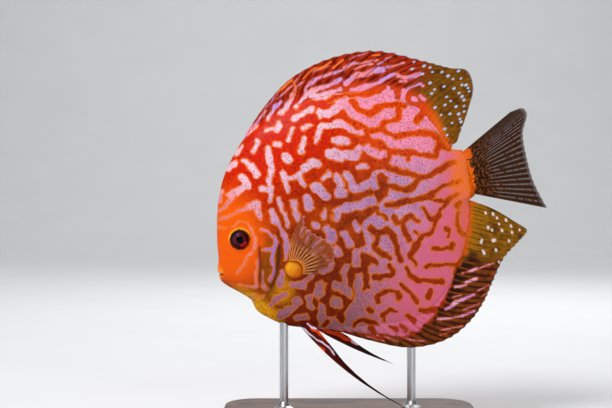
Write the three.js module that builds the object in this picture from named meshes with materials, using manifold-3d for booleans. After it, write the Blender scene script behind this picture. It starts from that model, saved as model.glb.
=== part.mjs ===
// A discus, a tall disc-shaped freshwater fish, as a still life-size model on a plain display stand.
// Millimetres. +Z is up, the fish faces -X, its left side is towards -Y, and the origin is the centre of the
// stand's underside. The fish swims nose down, so its outline is given in that pose.
import * as THREE from "three";
import { mergeVertices } from "three/addons/utils/BufferGeometryUtils.js";
import Module from "manifold-3d";

const wasm = await Module();
wasm.setup();

// Driving sizes
const GAP = 0.3; // between two parts that touch
const BODY_HALF_WIDTH = 11; // at the thickest place, behind the gill covers
const PEDUNCLE_HALF_WIDTH = 3.1; // the short stem in front of the tail fin
const SNOUT_HALF_WIDTH = 4.6;
const THICKEST_X = -24;
const SNOUT_X = -66.5;
const TAIL_STEM_X = 56;
const EYE = { x: -54.5, z: 93.8, radius: 4.7, flatness: 0.72, bulge: 2.1 };
const BASE = { length: 128, depth: 84, height: 8, corner: 16, bevel: 1.2 };
const ROD_RADIUS = 2.2;
const ROD_FOOT_RADIUS = 5;
const ROD_FOOT_HEIGHT = 2.5;

// Outline of the flesh without the fins, [x, z], from the upper lip over the nape to the tail and back
const BODY_OUTLINE = [
  [-66.2, 78.6], [-65.7, 83], [-66.4, 92.5], [-66.4, 106], [-65.2, 117], [-61.6, 129], [-53.5, 143.4],
  [-44, 153], [-33.5, 159.6], [-20, 165.6], [-6, 169], [8, 170], [21, 167.4], [31.5, 162], [40.5, 154],
  [47, 144.6], [51, 139.2], [56.4, 138], [60, 126.8], [62.4, 116], [59.8, 113.6], [61, 104], [59.6, 92],
  [55.5, 78], [48.5, 64.5], [38.5, 55], [24, 50.2], [5, 48.6], [-16, 49.4], [-32, 51], [-40.3, 54.4],
  [-46.4, 58.2], [-49.6, 63.6], [-55.3, 67.4], [-61, 70.5], [-64.4, 73.2], [-65.3, 75.4],
];
const CENTRE = { x: -4, z: 106 }; // the rings of the body's mesh close in on this point
const RIDGE_SLOPE = 0.233; // the thickest line runs from the snout to the tail, rising with the nose-down pose
const RIDGE_AT_CENTRE = 112.2;

const mix = THREE.MathUtils.lerp;
const smooth = THREE.MathUtils.smoothstep;

// Curves in the side view

function sideCurve(points, closed) {
  const flat = points.map(([x, z]) => new THREE.Vector3(x, 0, z));
  return new THREE.CatmullRomCurve3(flat, closed, "centripetal");
}

const RIM_SAMPLES = 720;
const rim = sideCurve(BODY_OUTLINE, true)
  .getPoints(RIM_SAMPLES)
  .map((p) => ({
    x: p.x,
    z: p.z,
    angle: Math.atan2(p.z - CENTRE.z, p.x - CENTRE.x),
    radius: Math.hypot(p.x - CENTRE.x, p.z - CENTRE.z),
  }));
const rimByAngle = [...rim].sort((a, b) => a.angle - b.angle);

// Distance from the centre to the outline in one direction
function rimRadius(angle) {
  const turn = THREE.MathUtils.euclideanModulo(angle + Math.PI, 2 * Math.PI) - Math.PI;
  let next = rimByAngle.findIndex((p) => p.angle >= turn);
  if (next < 1) next = rimByAngle.length - 1;
  const a = rimByAngle[next - 1];
  const b = rimByAngle[next];
  const share = b.angle > a.angle ? (turn - a.angle) / (b.angle - a.angle) : 0;
  return mix(a.radius, b.radius, THREE.MathUtils.clamp(share, 0, 1));
}

// Lowest and highest point of the flesh on an upright line at x, held steady past the tail stem and the snout
function spanAt(x) {
  const line = THREE.MathUtils.clamp(x, SNOUT_X + 1.5, TAIL_STEM_X);
  let low = Infinity;
  let high = -Infinity;
  for (let i = 1; i < rim.length; i++) {
    const a = rim[i - 1];
    const b = rim[i];
    if ((a.x - line) * (b.x - line) > 0) continue;
    const share = a.x === b.x ? 0 : (line - a.x) / (b.x - a.x);
    const z = mix(a.z, b.z, share);
    low = Math.min(low, z);
    high = Math.max(high, z);
  }
  return [low, high];
}

// Half the body's width, seen from above
function widthAt(x) {
  if (x < THICKEST_X) {
    const back = (THICKEST_X - x) / (THICKEST_X - SNOUT_X);
    return mix(BODY_HALF_WIDTH, SNOUT_HALF_WIDTH, Math.min(1, back) ** 2.1);
  }
  const along = Math.min(1, (x - THICKEST_X) / (TAIL_STEM_X - THICKEST_X));
  return mix(PEDUNCLE_HALF_WIDTH, BODY_HALF_WIDTH, (1 + Math.cos(Math.PI * along)) / 2);
}

// Half the body's thickness at a point of the side view: full along the ridge, thin at the back and belly edges
function halfThickness(x, z) {
  const [low, high] = spanAt(x);
  const ridge = THREE.MathUtils.clamp(
    RIDGE_AT_CENTRE + (x - CENTRE.x) * RIDGE_SLOPE, mix(low, high, 0.25), mix(low, high, 0.75));
  const above = z > ridge;
  const reach = Math.min(1, above ? (z - ridge) / (high - ridge) : (ridge - z) / (ridge - low));
  const headShare = 1 - smooth(x, -58, -34);
  const tailShare = smooth(x, 0, 50);
  const power = above ? mix(0.82, 0.5, headShare) : mix(mix(0.6, 0.85, tailShare), 0.42, headShare);
  const section = mix(0.14, 1, (1 - reach * reach) ** power);
  const t = Math.hypot(x - CENTRE.x, z - CENTRE.z) / rimRadius(Math.atan2(z - CENTRE.z, x - CENTRE.x));
  const edge = Math.sqrt(Math.max(0, 1 - t ** 26));
  return widthAt(x) * section * edge;
}

// Solids

function solidOf(geometry) {
  const bare = new THREE.BufferGeometry().setAttribute("position", geometry.getAttribute("position"));
  if (geometry.index) bare.setIndex(geometry.index);
  const merged = mergeVertices(bare, 1e-4);
  return new wasm.Manifold(new wasm.Mesh({
    numProp: 3,
    vertProperties: merged.attributes.position.array,
    triVerts: new Uint32Array(merged.index.array),
  }));
}

function solidFromLists(points, triangles) {
  const geometry = new THREE.BufferGeometry();
  geometry.setAttribute("position", new THREE.Float32BufferAttribute(points, 3));
  geometry.setIndex(triangles);
  return solidOf(geometry);
}

function geometryOf(solid) {
  const mesh = solid.getMesh();
  const points = new Float32Array(mesh.numVert * 3);
  for (let i = 0; i < mesh.numVert; i++) {
    points.set(mesh.vertProperties.subarray(i * mesh.numProp, i * mesh.numProp + 3), i * 3);
  }
  const geometry = new THREE.BufferGeometry();
  geometry.setAttribute("position", new THREE.BufferAttribute(points, 3));
  geometry.setIndex(new THREE.BufferAttribute(mesh.triVerts, 1));
  geometry.computeVertexNormals();
  return geometry;
}

// A node keeps only its largest closed piece
function largest(solid) {
  return solid.decompose().sort((a, b) => b.volume() - a.volume())[0];
}

function middleOf(solid) {
  const box = solid.boundingBox();
  return new THREE.Vector3(...box.min).add(new THREE.Vector3(...box.max)).multiplyScalar(0.5);
}

function ellipsoid(centre, radii, columns, rows) {
  const geometry = new THREE.SphereGeometry(1, columns, rows);
  geometry.rotateX(Math.PI / 2);
  geometry.scale(...radii).translate(...centre);
  return solidOf(geometry);
}

// A closed shape of the side view, drawn through [x, z] points and pushed through from yFrom to yTo
function slabThrough(points, yFrom, yTo) {
  const shape = new THREE.Shape(points.map(([x, z]) => new THREE.Vector2(x, z)));
  const geometry = new THREE.ExtrudeGeometry(shape, { depth: yTo - yFrom, bevelEnabled: false });
  geometry.rotateX(Math.PI / 2).translate(0, yTo, 0);
  return solidOf(geometry);
}

// A thin upright cut that follows a line of the side view
function thinCut(line, width) {
  const curve = sideCurve(line, false);
  const steps = 12;
  const sides = [[], []];
  for (let i = 0; i <= steps; i++) {
    const p = curve.getPoint(i / steps);
    const along = curve.getTangent(i / steps);
    const across = new THREE.Vector2(-along.z, along.x).normalize().multiplyScalar(width / 2);
    sides[0].push([p.x + across.x, p.z + across.y]);
    sides[1].unshift([p.x - across.x, p.z - across.y]);
  }
  return slabThrough([...sides[0], ...sides[1]], -40, 40);
}

// The whole body as one closed shell of rings, grown outwards by a set amount
const RING_SHARES = [0.28, 0.52, 0.72, 0.86, 0.945, 0.985, 1];
const RING_POINTS = 92;
function bodyShell(grow) {
  const points = [];
  const triangles = [];
  const last = RING_SHARES.length - 1;
  const put = (x, y, z) => points.push(x, y, z) / 3 - 1;
  const centres = [-1, 1].map((side) =>
    put(CENTRE.x, side * (halfThickness(CENTRE.x, CENTRE.z) + grow), CENTRE.z));
  const rings = [-1, 1].map(() => []);
  for (const [r, share] of RING_SHARES.entries()) {
    const row = [[], []];
    for (let i = 0; i < RING_POINTS; i++) {
      const angle = (i / RING_POINTS) * 2 * Math.PI;
      const reach = rimRadius(angle);
      const x = CENTRE.x + Math.cos(angle) * reach * share;
      const z = CENTRE.z + Math.sin(angle) * reach * share;
      const out = (reach * share + (r === last ? grow : grow * share ** 8)) / (reach * share);
      const gx = mix(CENTRE.x, x, out);
      const gz = mix(CENTRE.z, z, out);
      if (r === last) {
        const shared = put(gx, 0, gz);
        row[0].push(shared);
        row[1].push(shared);
      } else {
        const half = halfThickness(x, z) + grow;
        row[0].push(put(gx, -half, gz));
        row[1].push(put(gx, half, gz));
      }
    }
    rings[0].push(row[0]);
    rings[1].push(row[1]);
  }
  for (const side of [0, 1]) {
    const face = (a, b, c) => (side ? triangles.push(a, c, b) : triangles.push(a, b, c));
    for (let i = 0; i < RING_POINTS; i++) {
      const j = (i + 1) % RING_POINTS;
      face(centres[side], rings[side][0][i], rings[side][0][j]);
      for (let r = 0; r < last; r++) {
        const [inner, outer] = [rings[side][r], rings[side][r + 1]];
        face(inner[i], outer[i], outer[j]);
        face(inner[i], outer[j], inner[j]);
      }
    }
  }
  return solidFromLists(points, triangles);
}

// Fins

// A fin is a thin sheet from its root to its margin, with a ridge along each ray, tapered to a thin edge.
// place(u, v) gives the middle of the sheet, u across the rays and v out along them.
function finSolid({ place, rays, rows, membrane, crest, flesh = 0 }) {
  const columns = [0];
  for (let i = 0; i < rays; i++) {
    const ray = (i + 0.5) / rays;
    const foot = 0.24 / rays;
    columns.push(ray - foot, ray, ray + foot);
  }
  columns.push(1);
  const levels = [0, ...Array.from({ length: rows + 1 }, (_, j) => j / rows)];
  const points = [];
  const triangles = [];
  const indexOf = columns.map((u, c) => levels.map((v, l) => {
    const closed = c === 0 || c === columns.length - 1 || l === 0 || l === levels.length - 1;
    const onRay = c % 3 === 2;
    const half = (onRay ? mix(crest[0], crest[1], v) : mix(membrane[0], membrane[1], v))
      + flesh * (1 - smooth(v, 0, 0.3));
    const middle = place(u, v);
    const beside = place(u, Math.min(1, v + 0.02)).sub(place(u, Math.max(0, v - 0.02)));
    const nearby = place(Math.min(1, u + 0.01), v).sub(place(Math.max(0, u - 0.01), v));
    const across = beside.cross(nearby).normalize();
    const made = [];
    for (const side of closed ? [0] : [1, -1]) {
      const p = middle.clone().addScaledVector(across, side * half);
      made.push(points.push(p.x, p.y, p.z) / 3 - 1);
    }
    return closed ? [made[0], made[0]] : made;
  }));
  for (let c = 0; c + 1 < columns.length; c++) {
    for (let l = 0; l + 1 < levels.length; l++) {
      for (const side of [0, 1]) {
        const [a, b] = [indexOf[c][l][side], indexOf[c + 1][l][side]];
        const [d, e] = [indexOf[c][l + 1][side], indexOf[c + 1][l + 1][side]];
        // The first column's cells are split the other way, or the outermost corner would have no thickness
        for (const [p, q, r] of c === 0 ? [[a, d, b], [d, e, b]] : [[a, d, e], [a, e, b]]) {
          if (p === q || q === r || p === r) continue;
          triangles.push(...(side ? [p, r, q] : [p, q, r]));
        }
      }
    }
  }
  const solid = solidFromLists(points, triangles);
  return solid.volume() > 0 ? solid : solidFromLists(points, triangles.reverse());
}

// Rays between two matched rows of [x, z] points. bow(u) is how far a ray bends off its chord, as a share of
// its length, and sway(u, v) is how far the sheet stands out to the side.
function raySheet(roots, tips, bow, sway = () => 0) {
  const rootCurve = sideCurve(roots, false);
  const tipCurve = sideCurve(tips, false);
  const spread = (u) => u * (roots.length - 1);
  const pick = (curve, u) => {
    const at = Math.min(spread(u), roots.length - 1 - 1e-6);
    return curve.getPoint(at / (roots.length - 1));
  };
  return (u, v) => {
    const from = pick(rootCurve, u);
    const to = pick(tipCurve, u);
    const chord = to.clone().sub(from);
    const lean = new THREE.Vector3(-chord.z, 0, chord.x).multiplyScalar(bow(u) * 4 * v * (1 - v));
    const p = from.addScaledVector(chord, v).add(lean);
    p.y = sway(u, v);
    return p;
  };
}

// Dorsal fin: the root runs just inside the body's upper edge, from the nape to the tail stem
const DORSAL_ROOTS = [
  [-53, 141.5], [-44, 150.5], [-34, 157], [-22.5, 162.4], [-6, 166.8], [8, 167.6], [21, 165], [31, 160],
  [39, 152.5], [45, 144], [49.5, 137.6],
];
const DORSAL_TIPS = [
  [-51.5, 147.6], [-41.5, 162], [-29.5, 174.5], [-10.5, 184.4], [13, 188.4], [36.5, 183.4], [50.5, 179.6],
  [58.5, 178.4], [61.6, 170], [59, 158.5], [53.4, 142.6],
];

// Anal fin: from behind the pelvic fins round the lower edge to the tail stem
const ANAL_ROOTS = [
  [-14, 52], [1, 51], [15, 51.4], [28, 53.6], [38, 58], [46, 65.6], [52.2, 76], [56.4, 88], [58.2, 99],
  [58.4, 107], [59.2, 113.6],
];
const ANAL_TIPS = [
  [-8, 48.6], [10, 43.2], [31, 39.6], [49.5, 44.2], [61, 53.6], [67.6, 63.4], [71.8, 73], [77.4, 84.6],
  [84.5, 92.6], [88.6, 98.4], [83.5, 101.7],
];

// Tail fin: a fan behind the tail stem
const TAIL_ROOTS = [
  [54.5, 136.2], [55, 133.8], [55.8, 131.2], [56.6, 128.2], [57.4, 125], [58.4, 121.2], [59.6, 117],
];
const TAIL_TIPS = [
  [80.5, 157.8], [86.5, 159.6], [88.5, 157], [86.4, 147], [88.4, 134.6], [92, 122.6], [98.8, 109.4],
];

// Pectoral fin of the left side: a fan of soft rays on a fleshy lobe, spread up and back from the flank
const PECTORAL_ROOTS = [
  [-30.4, 83], [-28.8, 83.6], [-27, 83.6], [-25.2, 82.8], [-24, 81.4], [-23.4, 79.4], [-23.6, 77],
];
const PECTORAL_TIPS = [
  [-22.6, 107], [-22.2, 101], [-18, 97.2], [-12, 94.2], [-7.6, 89.6], [-9, 82.8], [-17.4, 76.6],
];
const PECTORAL_LOBE = { x: -28, z: 79.4, radii: [4.8, 1.6, 4.6] };
const PECTORAL_FLARE = 0.42; // how far the fin stands out, as a share of the distance from its root

// Pelvic fins: narrow blades drawn out into a filament
const PELVIC = {
  left: {
    roots: [[-25.6, 51.6], [-24.2, 52.6], [-22.6, 53.6], [-21, 54]],
    tips: [[29, 10.4], [13.5, 19.2], [1.5, 28.4], [-6.2, 36.4]],
    from: -3.4,
    sway: -7.5,
    bow: (u) => mix(-0.058, 0.03, u),
  },
  right: {
    roots: [[-22.4, 51.8], [-21.4, 52.8], [-20.2, 53.4], [-19, 53.8]],
    tips: [[23.2, 30], [12, 35.6], [4.5, 40.4], [-1, 44.8]],
    from: 3.4,
    sway: 6,
    bow: (u) => mix(-0.03, 0.02, u),
  },
};

function medianFins(grownBody) {
  const sheets = {
    dorsal_fin: { sheet: raySheet(DORSAL_ROOTS, DORSAL_TIPS, () => 0.07), rays: 27, rows: 4 },
    anal_fin: { sheet: raySheet(ANAL_ROOTS, ANAL_TIPS, (u) => mix(-0.05, 0.05, u ** 6)), rays: 25, rows: 3 },
    tail_fin: { sheet: raySheet(TAIL_ROOTS, TAIL_TIPS, () => 0), rays: 14, rows: 4 },
  };
  return Object.entries(sheets).map(([name, { sheet, rays, rows }]) => {
    const fin = finSolid({
      place: sheet, rays, rows, membrane: [0.42, 0.28], crest: [0.85, 0.42], flesh: 0.5,
    });
    return [name, largest(fin.subtract(grownBody))];
  });
}

function pectoralFin(side, grownBody) {
  const [a, b] = [PECTORAL_ROOTS[0], PECTORAL_ROOTS.at(-1)];
  const rootLength = Math.hypot(b[0] - a[0], b[1] - a[1]);
  const outward = [-(b[1] - a[1]) / rootLength, (b[0] - a[0]) / rootLength];
  const flank = halfThickness(PECTORAL_LOBE.x, PECTORAL_LOBE.z);
  const flat = raySheet(PECTORAL_ROOTS, PECTORAL_TIPS, (u) => mix(0.1, -0.04, u));
  const place = (u, v) => {
    const p = flat(u, v);
    const away = (p.x - a[0]) * outward[0] + (p.z - a[1]) * outward[1];
    p.y = side * (flank + 0.9 + PECTORAL_FLARE * away - 0.006 * away * away);
    return p;
  };
  const fan = finSolid({ place, rays: 10, rows: 4, membrane: [0.34, 0.26], crest: [0.6, 0.36], flesh: 0.5 });
  const lobe = ellipsoid(
    [PECTORAL_LOBE.x, side * flank, PECTORAL_LOBE.z], PECTORAL_LOBE.radii, 16, 10);
  return largest(fan.add(lobe).subtract(grownBody));
}

function pelvicFin({ roots, tips, from, sway, bow }, grownBody) {
  const place = raySheet(roots, tips, bow, (u, v) => from + sway * v * (1 - 0.35 * u));
  const fin = finSolid({ place, rays: 4, rows: 9, membrane: [0.4, 0.3], crest: [0.8, 0.4], flesh: 0.4 });
  return largest(fin.subtract(grownBody));
}

// Head

const MOUTH_CORNER = [-63.2, 76.2];
const CHIN_CUT = [[-72, 77.2], MOUTH_CORNER, [-57, 73.4], [-54.6, 60]];
const GILL_CUT = [[-54, 152], [-43.5, 122], [-34.9, 100], [-34.8, 84], [-38, 72], [-45, 60], [-52, 50]];
const TAIL_CUT = [[46, 150], [51.2, 138.4], [56, 126], [59.9, 113.4], [63, 104]];

// The gill cover's plate: from the cheek's rear line back to the gill opening
const GILL_PLATE = [
  [-44.6, 99], [-42, 101.6], [-38, 99], [-35.4, 93], [-35.2, 84], [-37.6, 74.4], [-41, 69], [-45, 67.4],
  [-46.4, 74], [-45.6, 88],
];

function lip(z, droop, radius) {
  const corner = 2.5;
  const curve = new THREE.CatmullRomCurve3([
    new THREE.Vector3(-62.9, -corner, z - droop),
    new THREE.Vector3(-64.6, -corner * 0.8, z - droop * 0.4),
    new THREE.Vector3(-65.6, 0, z),
    new THREE.Vector3(-64.6, corner * 0.8, z - droop * 0.4),
    new THREE.Vector3(-62.9, corner, z - droop),
  ]);
  const section = new THREE.Shape(new THREE.EllipseCurve(0, 0, radius, radius).getPoints(8).slice(0, 8));
  return solidOf(new THREE.ExtrudeGeometry(section, { steps: 10, extrudePath: curve }));
}

function insetOutline(points, inset) {
  const middle = points.reduce((sum, p) => [sum[0] + p[0] / points.length, sum[1] + p[1] / points.length], [0, 0]);
  return points.map(([x, z]) => {
    const reach = Math.hypot(x - middle[0], z - middle[1]);
    const share = (reach - inset) / reach;
    return [mix(middle[0], x, share), mix(middle[1], z, share)];
  });
}

function headParts(head, jaw) {
  const nodes = [];
  const plateDepth = 1.4;
  const plateRise = 0.45;
  const raised = bodyShell(plateRise);
  const floorOfPocket = bodyShell(-plateDepth - GAP);
  const underPlate = bodyShell(-plateDepth);
  let skull = head.add(lip(78.1, 1.9, 0.95));
  const lowerJaw = jaw.add(lip(75.6, -0.4, 0.85));
  for (const [name, side] of [["left", -1], ["right", 1]]) {
    const yRange = side < 0 ? [-30, -1] : [1, 30];
    const pocket = slabThrough(GILL_PLATE, ...yRange).subtract(floorOfPocket);
    const plate = slabThrough(insetOutline(GILL_PLATE, GAP * 1.3), ...yRange)
      .intersect(raised)
      .subtract(underPlate);
    skull = skull.subtract(pocket);
    nodes.push([`gill_cover_${name}`, largest(plate)]);

    const eyeY = side * (halfThickness(EYE.x, EYE.z) + EYE.bulge - EYE.radius * EYE.flatness);
    const radii = [EYE.radius, EYE.radius * EYE.flatness, EYE.radius];
    const centre = [EYE.x, eyeY, EYE.z];
    nodes.push([`eye_${name}`, ellipsoid(centre, radii, 20, 12)]);
    skull = skull.subtract(ellipsoid(centre, radii.map((r) => r + GAP), 20, 12));

    const nostril = new THREE.CylinderGeometry(0.55, 0.55, 3, 8);
    const nostrilSpot = [-61.6, 86];
    nostril.translate(nostrilSpot[0], side * (halfThickness(...nostrilSpot) + 0.6), nostrilSpot[1]);
    skull = skull.subtract(solidOf(nostril));
  }
  const gape = slabThrough([[-72, 79], [-72, 75.6], [-66, 76.4], [-63.2, 76.3], [-66, 77.6]], -20, 20);
  nodes.push(["head", largest(skull.subtract(gape).subtract(lowerJawClearance(lowerJaw)))]);
  nodes.push(["lower_jaw", largest(lowerJaw.subtract(gape))]);
  return nodes;
}

// The upper lip is cut clear of the lower one
function lowerJawClearance(jaw) {
  return [[0, GAP], [GAP, 0], [-GAP, 0], [0, -GAP]].reduce(
    (sum, [dx, dz]) => sum.add(jaw.translate([dx, 0, dz])), jaw);
}

// Stand

function standNodes(grownBody) {
  const { length, depth, height, corner, bevel } = BASE;
  const [w, d, r] = [length / 2 - bevel, depth / 2 - bevel, corner];
  const plate = new THREE.Shape();
  plate.absarc(w - r, d - r, r, 0, Math.PI / 2);
  plate.absarc(r - w, d - r, r, Math.PI / 2, Math.PI);
  plate.absarc(r - w, r - d, r, Math.PI, 1.5 * Math.PI);
  plate.absarc(w - r, r - d, r, 1.5 * Math.PI, 2 * Math.PI);
  const slab = new THREE.ExtrudeGeometry(plate, {
    depth: height - 2 * bevel, bevelThickness: bevel, bevelSize: bevel, bevelSegments: 2, curveSegments: 5,
  });
  slab.translate(0, 0, bevel);
  const rods = {
    stand_rod_front: { x: -33, y: 0, top: 60 },
    stand_rod_rear: { x: 31, y: 4.6, top: 72 },
  };
  const nodes = [["stand_base", solidOf(slab)]];
  for (const [name, { x, y, top }] of Object.entries(rods)) {
    const foot = height + GAP;
    const profile = [
      [0, foot], [ROD_FOOT_RADIUS, foot], [ROD_FOOT_RADIUS, foot + ROD_FOOT_HEIGHT * 0.5],
      [ROD_RADIUS * 1.4, foot + ROD_FOOT_HEIGHT], [ROD_RADIUS, foot + ROD_FOOT_HEIGHT * 1.8],
      [ROD_RADIUS, top], [0, top],
    ].map(([radius, z]) => new THREE.Vector2(radius, z));
    const rod = new THREE.LatheGeometry(profile, 16);
    rod.rotateX(Math.PI / 2);
    rod.translate(x, y, 0);
    nodes.push([name, largest(solidOf(rod).subtract(grownBody))]);
  }
  return nodes;
}

// Assembly

const SKIN = { color: 0xd9531c, roughness: 0.45 };
const FIN = { color: 0x8a4a16, roughness: 0.5 };
const PALE = { color: 0xd8a0b4, roughness: 0.45 };
const LOOKS = {
  eye_left: { color: 0x2a0e16, roughness: 0.15 },
  eye_right: { color: 0x2a0e16, roughness: 0.15 },
  stand_base: { color: 0x2b1c14, roughness: 0.4 },
  stand_rod_front: { color: 0xb9b9bb, roughness: 0.3, metalness: 1 },
  stand_rod_rear: { color: 0xb9b9bb, roughness: 0.3, metalness: 1 },
  torso: PALE,
  tail_stem: SKIN,
  head: SKIN,
  lower_jaw: SKIN,
  gill_cover_left: SKIN,
  gill_cover_right: SKIN,
};

const body = bodyShell(0);
const grownBody = bodyShell(GAP);
const cuts = [CHIN_CUT, GILL_CUT, TAIL_CUT].map((line) => thinCut(line, GAP));
const pieces = cuts.reduce((solid, cut) => solid.subtract(cut), body)
  .decompose()
  .filter((piece) => piece.volume() > 5)
  .sort((a, b) => middleOf(a).x - middleOf(b).x);
const [jaw, head, torso, tailStem] = pieces[0].volume() < pieces[1].volume()
  ? pieces
  : [pieces[1], pieces[0], pieces[2], pieces[3]];

const solids = [
  ...headParts(head, jaw),
  ["torso", torso],
  ["tail_stem", tailStem],
  ...medianFins(grownBody),
  ["pectoral_fin_left", pectoralFin(-1, grownBody)],
  ["pectoral_fin_right", pectoralFin(1, grownBody)],
  ["pelvic_fin_left", pelvicFin(PELVIC.left, grownBody)],
  ["pelvic_fin_right", pelvicFin(PELVIC.right, grownBody)],
  ...standNodes(grownBody),
];

const discus = new THREE.Group();
for (const [name, solid] of solids) {
  const material = new THREE.MeshStandardMaterial(LOOKS[name] ?? FIN);
  const mesh = new THREE.Mesh(geometryOf(solid), material);
  mesh.name = name;
  discus.add(mesh);
}

export default discus;
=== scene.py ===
# %% [markdown]
# # A discus fish on a display stand
#
# A discus is a freshwater fish as flat and round as a plate. This notebook dresses a solid model of one: it
# makes one skin over the whole body, finer fins, eyes that look wet, and a plain stand, and then lights them.
# It could be sculpted by hand, but every shape here is a formula over the fish's side view, so that a change
# to one measure moves everything that depends on it.

import bpy
import numpy as np
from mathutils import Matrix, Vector


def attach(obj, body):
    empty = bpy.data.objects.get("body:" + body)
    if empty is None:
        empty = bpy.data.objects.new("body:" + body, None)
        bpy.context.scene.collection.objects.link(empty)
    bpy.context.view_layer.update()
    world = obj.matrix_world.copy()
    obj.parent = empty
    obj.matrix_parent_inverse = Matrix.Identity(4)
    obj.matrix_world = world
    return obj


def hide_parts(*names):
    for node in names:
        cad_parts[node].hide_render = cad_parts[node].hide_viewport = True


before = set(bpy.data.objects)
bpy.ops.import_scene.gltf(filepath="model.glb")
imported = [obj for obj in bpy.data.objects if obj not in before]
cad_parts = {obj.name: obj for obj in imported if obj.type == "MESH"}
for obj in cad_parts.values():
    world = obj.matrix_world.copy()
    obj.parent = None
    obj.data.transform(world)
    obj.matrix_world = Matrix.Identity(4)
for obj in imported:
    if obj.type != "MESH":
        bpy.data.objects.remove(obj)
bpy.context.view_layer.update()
MM = 0.001

# %% [markdown]
# ## The side view as a map
#
# Most of what is drawn on a fish is seen from the side, so the side view is used as a map: x runs from snout
# to tail and z upwards, both in millimetres. Places that were read off the reference picture are written in
# its pixels and turned into millimetres by one function, because half a millimetre of fish fills one pixel.

# %% From picture pixels to millimetres of fish
PIXEL_MM = 0.5
PIXEL_AT_ORIGIN = (350, 427)  # the pixel where x and z are both 0


def to_fish(px, py):
    return (px - PIXEL_AT_ORIGIN[0]) * PIXEL_MM, (PIXEL_AT_ORIGIN[1] - py) * PIXEL_MM


def to_pixels(x, z):
    return x / PIXEL_MM + PIXEL_AT_ORIGIN[0], PIXEL_AT_ORIGIN[1] - z / PIXEL_MM


print("the eye's centre in mm:", to_fish(241, 240))

# %% [markdown]
# ## Smooth curves through a few points
#
# An outline needs only a handful of points if a smooth curve joins them. A centripetal Catmull-Rom curve goes
# through every point and doesn't make loops where two points are close, which a plain cubic spline does.

# %% A curve through points
def curve_through(points, closed, at):
    """Places on a centripetal Catmull-Rom curve. at runs from 0 to 1, with equal shares between points."""
    p = np.array(points, float)
    spans = len(p) if closed else len(p) - 1
    at = np.clip(np.atleast_1d(at), 0, 1) * spans
    first = np.minimum(at.astype(int), spans - 1)
    share = (at - first)[:, None]
    if closed:
        four = [p[(first + k) % len(p)] for k in (-1, 0, 1, 2)]
    else:
        padded = np.vstack([2 * p[0] - p[1], p, 2 * p[-1] - p[-2]])
        four = [padded[first + k] for k in (0, 1, 2, 3)]
    steps = [np.maximum(np.linalg.norm(b - a, axis=1), 1e-4)[:, None] ** 0.5 for a, b in zip(four, four[1:])]
    (a, b, c, d), (ab, bc, cd) = four, steps
    leave = ((b - a) / ab - (c - a) / (ab + bc) + (c - b) / bc) * bc
    reach = ((c - b) / bc - (d - b) / (bc + cd) + (d - c) / cd) * bc
    s2, s3 = share**2, share**3
    through = b * (2 * s3 - 3 * s2 + 1) + c * (3 * s2 - 2 * s3)
    return through + leave * (s3 - 2 * s2 + share) + reach * (s3 - s2)


print("a quarter along three points:", curve_through([(0, 0), (1, 1), (2, 0)], False, 0.25).round(2))


# %% Soft steps and mixtures
def ease(value, low, high):
    """0 below low, 1 above high, and a smooth step between them."""
    t = np.clip((value - low) / (high - low), 0, 1)
    return t * t * (3 - 2 * t)


def mix(a, b, share):
    return a + (b - a) * share


print("a soft step at a quarter of its way:", ease(0.25, 0, 1))

# %% [markdown]
# ## The body's shape
#
# The body's outline goes from the upper lip over the nape to the tail and back under the belly. Its thickness
# is a height over the side view: full along a ridge from snout to tail, and thin at the back and the belly.
# The solid model is shaped by the same rule, so the skin lies on it everywhere.

# %% The outline and its polar form
BODY_OUTLINE = [
    (-66.2, 78.6), (-65.7, 83), (-66.4, 92.5), (-66.4, 106), (-65.2, 117), (-61.6, 129), (-53.5, 143.4),
    (-44, 153), (-33.5, 159.6), (-20, 165.6), (-6, 169), (8, 170), (21, 167.4), (31.5, 162), (40.5, 154),
    (47, 144.6), (51, 139.2), (56.4, 138), (60, 126.8), (62.4, 116), (59.8, 113.6), (61, 104), (59.6, 92),
    (55.5, 78), (48.5, 64.5), (38.5, 55), (24, 50.2), (5, 48.6), (-16, 49.4), (-32, 51), (-40.3, 54.4),
    (-46.4, 58.2), (-49.6, 63.6), (-55.3, 67.4), (-61, 70.5), (-64.4, 73.2), (-65.3, 75.4),
]
CENTRE = np.array([-4.0, 106.0])
BODY_HALF_WIDTH, PEDUNCLE_HALF_WIDTH, SNOUT_HALF_WIDTH = 11.0, 3.1, 4.6
THICKEST_X, SNOUT_X, TAIL_STEM_X = -24.0, -66.5, 56.0
RIDGE_SLOPE, RIDGE_AT_CENTRE = 0.233, 112.2

rim = curve_through(BODY_OUTLINE, True, np.linspace(0, 1, 721))
rim_angle = np.arctan2(rim[:, 1] - CENTRE[1], rim[:, 0] - CENTRE[0])
rim_order = np.argsort(rim_angle)
rim_reach = np.linalg.norm(rim - CENTRE, axis=1)


def rim_radius(angle):
    return np.interp(angle, rim_angle[rim_order], rim_reach[rim_order], period=2 * np.pi)


print("outline:", len(BODY_OUTLINE), "points, up to", rim_reach.max().round(1), "mm from the centre")

# %% Half the body's thickness at any place of the side view
MIDLINE_SHARE = 0.14  # of the full thickness, left along the back and the belly
FREE_RIM, FINNED_RIM = 26, 13  # a high power ends the section bluntly, a lower one lets it run out thin
FULLNESS = {"back": 0.82, "nape": 0.5, "belly": 0.6, "belly by the tail": 0.85, "throat": 0.42}  # low is full

span_x = np.linspace(SNOUT_X + 1.5, TAIL_STEM_X, 400)
crossing = (rim[:-1, 0, None] - span_x) * (rim[1:, 0, None] - span_x) <= 0
run = np.where(np.abs(rim[1:, 0] - rim[:-1, 0]) < 1e-9, 1e-9, rim[1:, 0] - rim[:-1, 0])[:, None]
height = mix(rim[:-1, 1, None], rim[1:, 1, None], np.clip((span_x - rim[:-1, 0, None]) / run, 0, 1))
span_low = np.where(crossing, height, np.inf).min(0)
span_high = np.where(crossing, height, -np.inf).max(0)

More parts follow.
